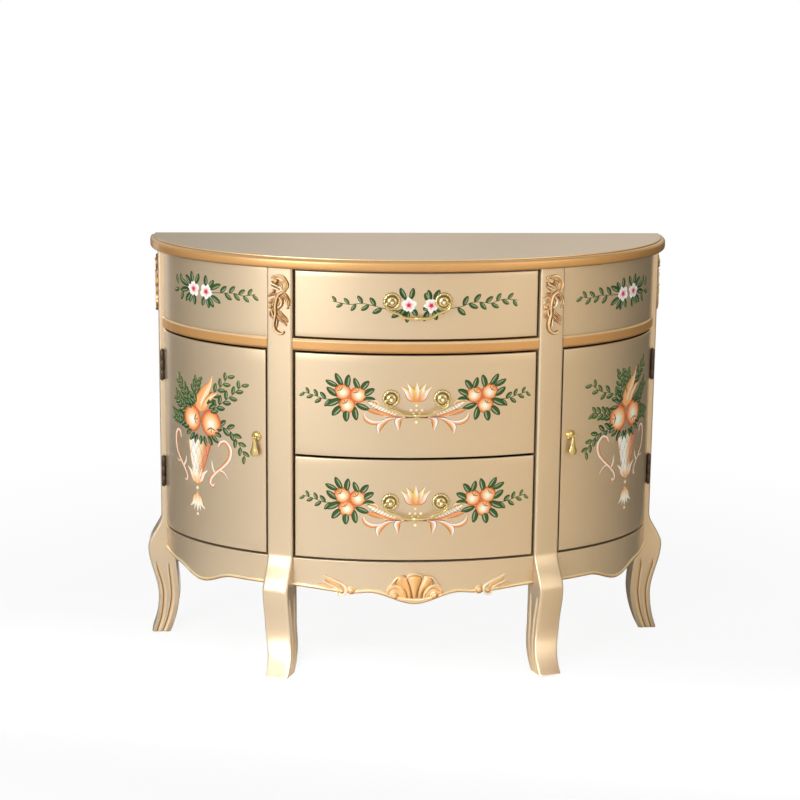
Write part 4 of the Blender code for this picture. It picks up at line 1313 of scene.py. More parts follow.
class Carver(Relief):
    """Carved strokes that keep a relief tone, with painted light on the sides turned up and left
    and painted shade on the sides turned down and right.
    """

    sink: float = 0.0003
    painted_light_slant: float = 0.26
    middle_tone: float = 0.62
    contrast: float = 1.0

    def turned_up(self, across: Array, up: Array) -> Array:
        """How far a direction points to the light at the upper left."""
        return 0.8 * up - 0.6 * across * self.flip

    def carve(self, across: Array, up: Array, out: Array, tone: Array) -> None:
        """Lay a form whose tone gets the carver's contrast."""
        tone = unit(self.middle_tone + self.contrast * (tone - self.middle_tone))
        self.lay(across, up, out - self.sink, lift=tone)

    def stroke(self, path: Path, relief: float, section: Section = Section.RIDGE, count: int = 30,
               lobes: int = 0, crest: float = 0.0, shade: float = 0.0) -> None:
        """Carve a stroke: its section stands on a flat back that is sunk a little.

        Args:
            path: rows of across, up and half width.
            relief: its height.
            section: its shape across.
            count: number of stations.
            lobes: number of notched leaflets along it.
            crest: how much paler its end is.
            shade: how much darker all of it is.
        """
        points, sideways, half = self.centre_line(path, count)
        over = crosswise(17)
        run = np.linspace(0.0, 1.0, count)[:, None]
        notch = np.cos(2 * np.pi * lobes * run) if lobes else 0 * run
        half = half[:, None] * (1 - 0.20 * notch)
        fullness = unit(half / np.maximum(points[:, 2:3], 1e-9))
        light = self.turned_up(sideways[:, :1], sideways[:, 1:2])
        # Painted light and shade: paler on the side turned to the upper left, and darker on the
        # side turned down and right, in the notches and where the stroke thins out.
        tone = section.tone(over) - shade + self.painted_light_slant * over * light - 0.22 * notch * np.abs(over)
        tone = tone + crest * bell(1 - run, 0.0, 0.07) - 0.25 * np.clip(0.5 - fullness, 0.0, 0.5)
        self.carve(points[:, :1] + sideways[:, :1] * half * over,
                   points[:, 1:2] + sideways[:, 1:2] * half * over,
                   relief * section.height(over) * fullness, tone)

    def boss(self, across: float, up: float, radius: float, relief: float, petals: int = 0) -> None:
        """Carve a knob: a flattened half ball inside a grooved ring, or scalloped into petals.

        Args:
            across, up: its middle.
            radius, relief: its size and height.
            petals: number of scallops, or 0 for a ringed knob.
        """
        share, turn = np.sin(quarter(14))[:, None], circle(36)
        edge = 1 + (0.10 * np.cos(petals * turn) if petals else 0.0) * share ** 2
        groove = bell(share, 0.66, 0.10)
        shape = np.sqrt(unit(1 - share ** 2)) * (1 - 0.28 * groove) + 0 * turn
        light = share * self.turned_up(np.cos(turn), np.sin(turn))
        # Painted shade in the groove and round the rim, and painted light on the side turned to the
        # upper left.
        tone = 0.62 - 0.40 * groove + 0.42 * light - 0.4 * unit((share - 0.9) / 0.1)
        self.carve(across + radius * share * edge * np.cos(turn),
                   up + radius * share * edge * np.sin(turn), relief * shape, tone)


def flat_mapping(seat: Array, across: Array, out: Array) -> Mapping:
    """Mapping onto an upright plane through a seat point, with plan directions across and out.

    Args:
        seat: point of the plane.
        across, out: plan directions.

    Returns:
        The mapping.
    """
    def mapping(over: Array, up: Array, off: Array) -> Array:
        """Points of the surface."""
        over, up, off = np.broadcast_arrays(over, up, off)
        plan = seat[:2] + over[..., None] * across + off[..., None] * out
        return np.concatenate([plan, (seat[2] + up)[..., None]], axis=-1)
    return mapping


def curved_mapping(along: float, level: float, side: int = 1, lift: float = 0.0) -> Mapping:
    """Mapping onto the curved front about a place along it, on the right side or mirrored.

    Args:
        along, level: middle of the surface.
        side: 1 on the right, -1 on the left.
        lift: distance out from the front.

    Returns:
        The mapping.
    """
    def mapping(over: Array, up: Array, off: Array) -> Array:
        """Points of the surface."""
        over, up, off = np.broadcast_arrays(over, up, off)
        return mirrored(PLAN.place(along + over, off + lift, level + up), side)
    return mapping


# Carved mounts and shell


@dataclass
class Mounts:
    """Gilt mounts on the stiles: a curled bud over a leafy stem that ends in a hook.

    Strokes and bosses are in thousandths of the mount's width and height.
    """

    finishes: Finishes
    height: float = 0.122
    width: float = 0.046
    side_width: float = 0.036
    relief: float = 0.0064
    top_gap: float = 0.0155
    contrast: float = 1.55
    middle_tone: float = 0.82
    fillings: ClassVar = (
        shares(-260, 360, 60, -40, 380, 120, 160, 360, 150, 220, 260, 90),
        shares(0, 200, 80, 100, 120, 140, 60, 20, 130, -60, -60, 80),
        shares(-100, 140, 60, -200, 60, 120, -240, -40, 100, -160, -120, 60))
    leaves: ClassVar = (
        shares(-60, 160, 50, -260, 190, 100, -500, 145, 30),
        shares(-80, 100, 50, -260, 85, 110, -460, 30, 40),
        shares(130, 210, 70, 300, 165, 130, 410, 90, 130, 450, -10, 50),
        shares(-50, -70, 50, 140, -150, 100, 300, -200, 90, 420, -270, 30),
        shares(-90, -150, 50, 100, -230, 90, 250, -270, 70, 380, -330, 30),
        shares(-200, -60, 40, -360, -110, 70, -380, -170, 70, -180, -225, 40))
    scrolls: ClassVar = (
        shares(-350, 335, 30, -180, 290, 60, 40, 265, 40),
        shares(-340, 400, 30, -220, 350, 65, 0, 325, 40),
        shares(20, 155, 40, 150, 85, 70, 110, 10, 70, -30, -40, 50),
        shares(-300, -70, 30, -270, -140, 50, -200, -190, 30),
        shares(-50, -210, 30, -70, -290, 45, -100, -360, 20))
    stem: ClassVar = shares(
        240, 235, 60, 20, 185, 80, -100, 80, 75, -140, -30, 70, -130, -140, 75, -190, -240, 80,
        -220, -330, 80, -150, -410, 85, 20, -455, 80, 160, -455, 65, 270, -420, 50)
    curl: ClassVar = shares(
        -360, 455, 60, -120, 475, 85, 140, 465, 100, 310, 415, 110, 350, 345, 100, 300, 270, 80,
        200, 225, 50)
    bosses: ClassVar = shares(-110, 405, 140, -220, 240, 85, -360, -20, 110, 40, 30, 70,
                              420, -30, 50)

    def carve(self, carver: Carver, width: float) -> None:
        """Carve one mount.

        Args:
            carver: carver on the mount's seat.
            width: its width.
        """
        size = (width, self.height, width)
        for path in self.fillings:
            carver.stroke(path * size, self.relief * 0.45, Section.LEAF)
        for number, path in enumerate(self.leaves):
            relief = self.relief * (0.80 - 0.04 * number)
            carver.stroke(path * size, relief, Section.LEAF, 36, lobes=2)
        carver.stroke(self.stem * size, self.relief, Section.RIDGE, 72, shade=0.12)
        for path in self.scrolls:
            carver.stroke(path * size, self.relief * 1.02, Section.RIDGE, 26)
        carver.stroke(self.curl * size, self.relief * 0.95, Section.CHANNEL, 44, 4, shade=-0.12)
        for number, boss in enumerate(self.bosses * size):
            carver.boss(*boss, self.relief * (1.0 if number else 1.12), 0 if number else 5)

    def build(self) -> None:
        """Build the front and the side mounts, all with the hook to their right."""
        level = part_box("front_leg_right")[1].z + PLAN.fit_gap - self.top_gap - self.height / 2
        stand = PLAN.stile_proud + PLAN.fit_gap
        seats = (("front", PLAN.leg_corners.mean(0) + PLAN.leg_out * stand, PLAN.leg_out,
                  self.width),
                 ("side", np.array([PLAN.half_width + PLAN.stile_proud + PLAN.fit_gap,
                                    PLAN.back_y - PLAN.back_stile_width / 2]),
                  np.array([1.0, 0.0]), self.side_width))
        for side, hand in SIDES:
            for label, face, facing, width in seats:
                out = facing * (side, 1.0)
                seat = np.append(face * (side, 1.0), level)
                carver = Carver(flat_mapping(seat, np.array([-out[1], out[0]]), out))
                carver.contrast, carver.middle_tone = self.contrast, self.middle_tone
                self.carve(carver, width)
                node = f"mount_{label}_{hand}"
                carver.form.install(node + "_carved", self.finishes.carving, "carcass", node,
                                    sharp=60.0)


@dataclass
class ApronCarving:
    """Carved shell in the middle of the centre apron, and a leaf spray on each side of it.

    Strokes of the shell are in thousandths of its width and height. Strokes of a spray are in
    tenths of a millimetre from the middle of the apron.
    """

    finishes: Finishes
    aprons: Aprons
    height: float = 0.063
    width: float = 0.114
    relief: float = 0.0092
    lift: float = 0.007
    spray_relief: float = 0.0048
    right_shift: float = 0.004
    middle: ClassVar = shares(0, -420, 26, 0, -160, 56, 0, 100, 104, 0, 290, 142, 0, 410, 75)
    lobes: ClassVar = (
        shares(165, -420, 24, 185, -250, 34, 235, -100, 40, 310, -20, 46, 400, -40, 46,
               465, -150, 38, 485, -280, 22),
        shares(85, -420, 24, 115, -140, 44, 180, 60, 80, 245, 200, 118, 295, 300, 68))
    fillings: ClassVar = (
        shares(40, -440, 30, 80, -120, 45, 125, 160, 30),
        shares(125, -440, 30, 160, -180, 40, 260, 30, 40, 350, 50, 20),
        shares(190, -420, 30, 260, -260, 60, 360, -200, 70, 455, -300, 30))
    rims: ClassVar = (
        shares(-150, 250, 9, -110, 370, 13, 0, 430, 14, 110, 370, 13, 150, 250, 9),
        shares(405, 60, 9, 372, 180, 13, 295, 310, 14, 200, 340, 10),
        shares(500, -160, 9, 450, -10, 12, 370, 45, 14, 270, -35, 13, 205, -210, 8))
    root: ClassVar = shares(-400, -300, 20, -200, -420, 30, 0, -455, 32, 200, -420, 30,
                            400, -300, 20)
    eye: ClassVar = (0.350, -0.31, 0.078)
    spray_body: ClassVar = (
        rows(1810, 2020, 30, 1680, 1950, 62, 1560, 1870, 60, 1500, 1800, 40),
        rows(1960, 1880, 14, 1820, 1845, 28, 1680, 1790, 26))
    spray_rims: ClassVar = (
        rows(1875, 1965, 12, 1740, 1905, 18, 1620, 1850, 20, 1555, 1800, 14),
        rows(1835, 2080, 18, 1670, 2005, 22, 1500, 1925, 26, 1400, 1850, 30, 1385, 1755, 30,
             1450, 1685, 28, 1540, 1690, 24, 1570, 1755, 18))
    spray_knobs: ClassVar = rows(1480, 1765, 56, 1285, 1785, 92)

    def shell(self) -> None:
        """Carve the shell: dished lobes over a root, with two scroll eyes."""
        level = float(self.aprons.centre_edge(np.array([0.0]))[0]) + self.lift + self.height / 2
        carver = Carver(curved_mapping(0.0, level, lift=PLAN.fit_gap))
        right = np.array([self.width, self.height, self.width])
        both = (right * (-1, 1, 1), right)
        # Filler strokes between the lobes are darker by a shade of 0.40, painted shade in the
        # recesses.
        for number, path in enumerate(self.fillings):
            for size in both:
                carver.stroke(path * size, self.relief * 0.34, Section.LOBE,
                              shade=0.0 if number == 2 else 0.40)
        for number, path in enumerate(self.lobes):
            for size in both:
                carver.stroke(path * size, self.relief * (0.66 + 0.14 * number), Section.LOBE, 44,
                              crest=0.30 if number else 0.0)
        carver.stroke(self.middle * right, self.relief, Section.LOBE, 44, crest=0.30)
        for number, path in enumerate(self.rims):
            for size in both[::-1] if number else both[1:]:
                carver.stroke(path * size, self.relief * (1.06 - 0.10 * number), Section.RIM)
        carver.stroke(self.root * right, self.relief * 0.55, Section.RIDGE, 40)
        for size in both:
            carver.boss(*(self.eye * size), self.relief * 0.85)
        carver.form.install("shell_carved", self.finishes.carving, "carcass", "apron_shell",
                            sharp=60.0)

    def sprays(self) -> None:
        """Carve the two leaf sprays, each mirrored from the same strokes."""
        carver = Carver(curved_mapping(0.0, 0.0, lift=PLAN.fit_gap))
        for flip, shift in ((-1.0, 0.0), (1.0, self.right_shift)):
            carver.flip = flip
            shift = np.array([shift, 0.0, 0.0])
            for path in self.spray_body:
                carver.stroke(path + shift, self.spray_relief * 0.55, Section.LOBE)
            for path in self.spray_rims:
                carver.stroke(path + shift, self.spray_relief, Section.RIM, 44)
            for knob in self.spray_knobs + shift:
                carver.boss(*knob, self.spray_relief * 1.1)
        carver.form.install("apron_leaf_sprays", self.finishes.carving, "carcass", sharp=60.0)

    def build(self) -> None:
        """Build the carving of the centre apron."""
        self.shell()
        self.sprays()


# Brass and bronze fittings


def turned_rings(profile: Path, around: int, petals: int = 0, petal_depth: float = 0.0) -> Array:
    """Rings of a turned shape about +Z through (radius, height) rows, with or without petals.

    Args:
        profile: rows of radius and height.
        around: number of points in a ring.
        petals: number of scallops.
        petal_depth: depth of a scallop, as a share of the radius.

    Returns:
        Points of shape (stations, around, 3).
    """
    steps = np.asarray(profile, float)
    turn = circle(around)
    scallop = petal_depth * np.cos(petals * turn) * (steps[:, :1] / steps[:, 0].max()) ** 3
    radius = steps[:, :1] * (1 + scallop)
    return np.stack(np.broadcast_arrays(radius * np.cos(turn), radius * np.sin(turn),
                                        steps[:, 1:]), axis=-1)


@dataclass
class Handles:
    """Two scalloped rosettes on each drawer front and the swan-neck bail between them."""

    finishes: Finishes
    spread: float = 0.102
    radius: float = 0.0175
    post_radius: float = 0.0046
    post_reach: float = 0.017
    stand_off: float = 0.0125
    bail_radius: float = 0.0024
    bail_swell: float = 0.0010
    pin_radius: float = 0.0016
    drop: float = 0.032
    shoulder: float = 0.010
    rosette_height: float = 0.008
    # Rows of width, height and relief tone: painted shade at the foot and in the groove, painted
    # highlights on the rim's crest and on the dome.
    profile: ClassVar = (
        (1.0, 0.0, 0.10), (1.0, 0.16, 0.30), (0.965, 0.34, 0.60), (0.90, 0.46, 0.72),
        (0.82, 0.50, 0.45), (0.75, 0.44, 0.20), (0.68, 0.40, 0.08), (0.61, 0.48, 0.15),
        (0.56, 0.66, 0.55), (0.50, 0.80, 0.75), (0.42, 0.88, 0.60), (0.34, 0.90, 0.22))

    def rosette(self, side: int, level: float, name: str, body: str, node: str) -> None:
        """Turn a rosette with its post, and lay its back on the curve of the drawer front.

        Args:
            side: 1 on the right, -1 on the left.
            level: height of its middle.
            name, body, node: names of the piece, its body and its CAD node.
        """
        steps = [(self.radius * width, self.rosette_height * rise)
                 for width, rise, _ in self.profile]
        # The post is dark where it leaves the dome and pale on its rounded end: painted shade and
        # highlight.
        tones = [tone for _, _, tone in self.profile] + [0.12, 0.45]
        post = self.post_radius
        steps += [(post, self.rosette_height), (post, self.post_reach - post)]
        steps += [(post * np.cos(turn), self.post_reach - post * (1 - np.sin(turn)))
                  for turn in quarter(7)[1:]]
        lift = np.array(tones + [0.80] * (len(steps) - len(tones)))[:, None]
        shape = turned_rings(steps, 72, petals=16, petal_depth=0.055)
        x = side * self.spread / 2 + shape[..., 0]
        plane = float(PLAN.place(0.0, PLAN.fit_gap, 0.0)[1])
        along = PLAN.along(np.arccos(x / PLAN.half_width))
        face = PLAN.place(along, PLAN.fit_gap, 0.0)[..., 1]
        seat = plane + (face - plane) * unit(1 - shape[..., 2] / self.rosette_height)
        rings = np.stack([x, seat - shape[..., 2], level + shape[..., 1]], axis=-1)
        form = Form().loft(rings, lift=lift)
        form.install(name, self.finishes.brass, body, node, sharp=45.0)

    def bail(self, level: float, node: str) -> None:
        """Sweep the bail: thin at its pins, and thicker towards a small knop in the middle.

        Args:
            level: height of its pins.
            node: name of its CAD node and of its body.
        """
        radius, half_shoulder = self.bail_radius, self.shoulder / 2
        start = self.spread / 2 + self.post_radius / 3
        elbow = self.spread / 2 + self.post_radius + half_shoulder
        half = [(start, 0.0), (elbow - radius, 0.0), (elbow + radius / 2, -radius),
                (elbow + radius, -self.drop / 4), (elbow - self.shoulder / 3, -self.drop / 2)]
        half += [(self.spread * x, -self.drop * z)
                 for x, z in ((0.38, 0.72), (0.28, 0.92), (0.14, 1.0), (0.0, 1.0))]
        path = smooth_path(half + [(-x, z) for x, z in half[-2::-1]], 161)
        place = np.abs(path[:, 0]) / self.spread
        radii = radius + self.bail_swell * ease(1.0, 0.0, place / 0.42)
        radii += 0.0012 * bell(place, 0.0, 0.035) - 0.0006 * bell(place, 0.075, 0.02)
        pins = (np.abs(path[:, 1]) < radius / 3) & (np.abs(path[:, 0]) < elbow)
        radii = np.where(pins, self.pin_radius, radii)[:, None]
        plane = float(PLAN.place(0.0, PLAN.fit_gap, 0.0)[1]) - self.stand_off
        turn = circle(20)
        aside, reach = sideways_of(path), radii * np.cos(turn)
        rings = np.stack([path[:, :1] + aside[:, :1] * reach, radii * np.sin(turn),
                          path[:, 1:] + aside[:, 1:] * reach], axis=-1)
        form = Form().loft(rings + np.array([0.0, plane, level]))
        form.install(f"handle_{node}", self.finishes.brass, node, node, sharp=60.0)

    def build(self) -> None:
        """Build the handles of the three drawers."""
        for label in DRAWERS:
            low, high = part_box(f"rosette_{label}_right")
            level = (low.z + high.z) / 2
            for side, hand in SIDES:
                self.rosette(side, level, f"handle_rosette_{label}_{hand}", f"drawer_{label}",
                             f"rosette_{label}_{hand}")
            self.bail(level, f"bail_{label}")


@dataclass
class Pulls:
    """Domed base on each door with a pear-shaped drop hanging from a pin."""

    finishes: Finishes
    edge_inset: float = 0.021
    level: float = 0.487
    radius: float = 0.011
    dome: float = 0.006
    rim: float = 0.0016
    cheek: float = 0.0025
    cheek_gap: float = 0.0052
    stand_off: float = 0.0105
    eye: float = 0.0036
    pin: float = 0.0013
    length: float = 0.040
    width: float = 0.018
    thickness: float = 0.008
    pear: ClassVar = rows(0, 220, 80, 230, 200, 340, 360, 500, 550, 640, 720, 920, 840, 1000,
                          940, 800, 985, 420, 1000, 0, parts=1000, wide=2)

    def bolt(self, form: Form, mapping: Mapping, reach: float, ends: Sequence[float],
             sizes: Sequence[float], radius: float, turn: Array) -> None:
        """Add a round bar through the pull's axis, from places and sizes that are shares.

        Args:
            form: form that gets the bar.
            mapping: mapping onto the door.
            reach, radius: its half length and its radius.
            ends, sizes: shares of them at each station.
            turn: angles round it.
        """
        over, size = (np.array(values)[:, None] for values in (ends, sizes))
        over, size = reach * over, radius * size
        form.loft(mapping(over + 0 * turn, size * np.cos(turn),
                          self.stand_off + size * np.sin(turn)))

    def base(self, mapping: Mapping, label: str) -> None:
        """Dome with a stepped rim, two cheeks and the pin.

        Args:
            mapping: mapping onto the door.
            label: left or right.
        """
        shoulder = self.radius * 0.84
        steps = [(self.radius, -PLAN.fit_gap / 2), (self.radius, self.rim / 2),
                 (self.radius * 0.93, self.rim), (shoulder, self.rim)]
        steps += [(shoulder * np.cos(turn), self.rim + (self.dome - self.rim) * np.sin(turn))
                  for turn in quarter(9)[1:]]
        rings = turned_rings(steps, 48)
        form = Form().loft(mapping(rings[..., 0], rings[..., 1], rings[..., 2]))
        turn = circle(24)
        for side in (-1, 1):
            bulge = self.cheek * np.array([0.0, 0.0, 0.2, 0.8, 1.0, 1.0])
            over = side * (self.cheek_gap / 2 + bulge)[:, None]
            size = self.eye * np.array([0.0, 0.88, 1.0, 1.0, 0.88, 0.0])[:, None]
            foot = (self.stand_off - self.dome / 3) * np.sin(turn) * (size / self.eye)
            out = self.stand_off + np.where(np.sin(turn) < 0, foot, size * np.sin(turn))
            form.loft(mapping(over + 0 * turn, size * np.cos(turn), out))
        self.bolt(form, mapping, self.cheek_gap / 2 + self.cheek * 1.25,
                  (-1.0, -0.93, 0.93, 1.0), (0.6, 1.0, 1.0, 0.6), self.pin, turn)
        form.install(f"pull_base_{label}_dome", self.finishes.brass, f"door_{label}",
                     f"pull_base_{label}", sharp=45.0)

    def drop(self, mapping: Mapping, label: str) -> None:
        """Pear-shaped drop under a round eye, whose sections are ellipses.

        Args:
            mapping: mapping onto the door.
            label: left or right.
        """
        steps = smooth_path(self.pear, 48)
        share, width = steps[:, :1], np.clip(steps[:, 1:], 0.0, None)
        turn = circle(32)
        out = self.stand_off + self.thickness / 2 * np.sqrt(width) * np.sin(turn)
        form = Form().loft(mapping(self.width / 2 * width * np.cos(turn),
                                   -share * self.length + 0 * turn, out))
        self.bolt(form, mapping, self.cheek_gap / 2 - PLAN.fit_gap, (-1.0, -0.86, 0.86, 1.0),
                  (0.86, 1.0, 1.0, 0.86), self.eye, turn)
        node = f"pull_drop_{label}"
        form.install(node + "_pear", self.finishes.brass, node, node, sharp=45.0)

    def build(self) -> None:
        """Build the pulls of both doors."""
        edge = PLAN.turned(PLAN.leg_outer, -PLAN.reveal)
        place = PLAN.along(PLAN.turned(edge, -self.edge_inset))
        seat = PLAN.place(place, PLAN.fit_gap, self.level)
        out = PLAN.normals(place)
        for side, label in SIDES:
            flip = np.array([side, 1.0])
            mapping = flat_mapping(mirrored(seat, side), np.array([-out[1], out[0]]) * flip,
                                   out * flip)
            self.base(mapping, label)
            self.drop(mapping, label)


@dataclass
class Hinges:
    """Butt hinges in the joint between the doors and the back legs, with round pin heads."""

    finishes: Finishes
    height: float = 0.063
    radius: float = 0.0040
    leaf: float = 0.0011
    leaf_width: float = 0.016
    bevel: float = 0.0005

    def plate(self, form: Form, ends: Sequence[float], y: float, low: float, high: float) -> None:
        """Add a thin plate with bevelled ends, as stacked outlines of a box.

        Args:
            form: form that gets the plate.
            ends: its two ends in X.
            y: its face.
            low, high: its heights.
        """
        lower = np.array([min(ends), y, low])
        upper = np.array([max(ends), y + self.leaf, high])
        middle, half = (lower + upper) / 2, (upper - lower) / 2
        corners = np.array([[-1, -1], [1, -1], [1, 1], [-1, 1]], float)
        levels = np.array([low, low + self.bevel, high - self.bevel, high])
        end = 1 - self.bevel / half.max()
        scale = np.array([end, 1.0, 1.0, end])
        plan = middle[:2] + corners[None] * half[:2] * scale[:, None, None]
        heights = np.broadcast_to(levels[:, None, None], (4, 4, 1))
        form.loft(np.concatenate([plan, heights], axis=-1))

    def barrel(self, form: Form, seat: Array, low: float, high: float, head: bool) -> None:
        """Add a knuckle, with a rounded pin head above and below it if it is an outer one.

        Args:
            form: form that gets the knuckle.
            seat: point of its axis.
            low, high: its heights.
            head: whether it is an outer one.
        """
        soft = self.radius - self.bevel
        steps = [(soft, low), (self.radius, low + self.bevel), (self.radius, high - self.bevel),
                 (soft, high)]
        form.loft(turned_rings(steps, 32) + seat)
        if head:
            cap = [(self.radius * 0.7 * np.cos(turn), self.radius * 0.6 * np.sin(turn))
                   for turn in np.linspace(-np.pi / 2, np.pi / 2, 9)]
            for level in (low, high):
                form.loft(turned_rings(cap, 24) + (seat + (0.0, 0.0, level)))

    def build(self) -> None:
        """Build the leaves of the four hinges, on the legs and on the doors."""
        gap, third = PLAN.fit_gap, self.height / 3
        reach = self.radius + gap
        edge_x = float(PLAN.place(PLAN.along(PLAN.back_leg), 0.0, 0.0)[0])
        owners = (("leg", PLAN.back_leg_y - gap - self.leaf,
                   ((0.0, third - gap), (2 * third + gap, self.height))),
                  ("door", PLAN.back_leg_y - PLAN.hinge_edge_gap + gap, ((third, 2 * third),)))
        for side, hand in SIDES:
            inner = side * (edge_x - self.leaf_width)
            seat = np.array([side * (edge_x + reach), PLAN.back_leg_y - reach, 0.0])
            for level in ("upper", "lower"):
                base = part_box(f"hinge_leg_leaf_{level}_{hand}")[0].z
                for owner, y, knuckles in owners:
                    form = Form()
                    self.plate(form, (inner, side * edge_x), y, base, base + self.height)
                    for low, high in knuckles:
                        self.plate(form, (inner, seat[0]), y, base + low, base + high)
                        self.barrel(form, seat, base + low, base + high, owner == "leg")
                    node = f"hinge_{owner}_leaf_{level}_{hand}"
                    body = "carcass" if owner == "leg" else f"door_{hand}"
                    form.install(node + "_bronze", self.finishes.bronze, body, node, sharp=45.0)


# Painted ornament


class Tone(Enum):
    """Colours of the artist's palette."""

    LEAF_DARK = (10, 30, 16)
    LEAF = (50, 88, 40)
    LEAF_TIP = (112, 132, 48)
    LEAF_LIGHT = (200, 212, 178)
    STEM = (70, 86, 50)
    WHITE = (255, 253, 246)
    CREAM = (255, 238, 190)
    PEACH = (250, 178, 112)
    ORANGE = (232, 112, 56)
    RUST = (176, 70, 34)
    BROWN = (70, 42, 28)
    YELLOW = (244, 208, 112)
    PINK = (244, 132, 140)
    RED = (206, 34, 50)
    ROSE = (226, 146, 104)
    AMBER = (242, 158, 78)

    def over(self, under: Array, share: Array) -> Array:
        """Colours with this tone laid over them by an array of shares."""
        share = unit(share)[..., None]
        return under * (1 - share) + linear(self.value) * share


def blend(low: Tone, high: Tone, share: Array) -> Array:
    """Colours between two tones, for an array of shares from 0 to 1."""
    return high.over(linear(low.value), share)


def moved(path: Array, side: float = 1.0, x: float = 0.0) -> Array:
    """Path mirrored if its side is -1, and then moved across."""
    return path * (side, 1.0, 1.0) + (x, 0.0, 0.0)


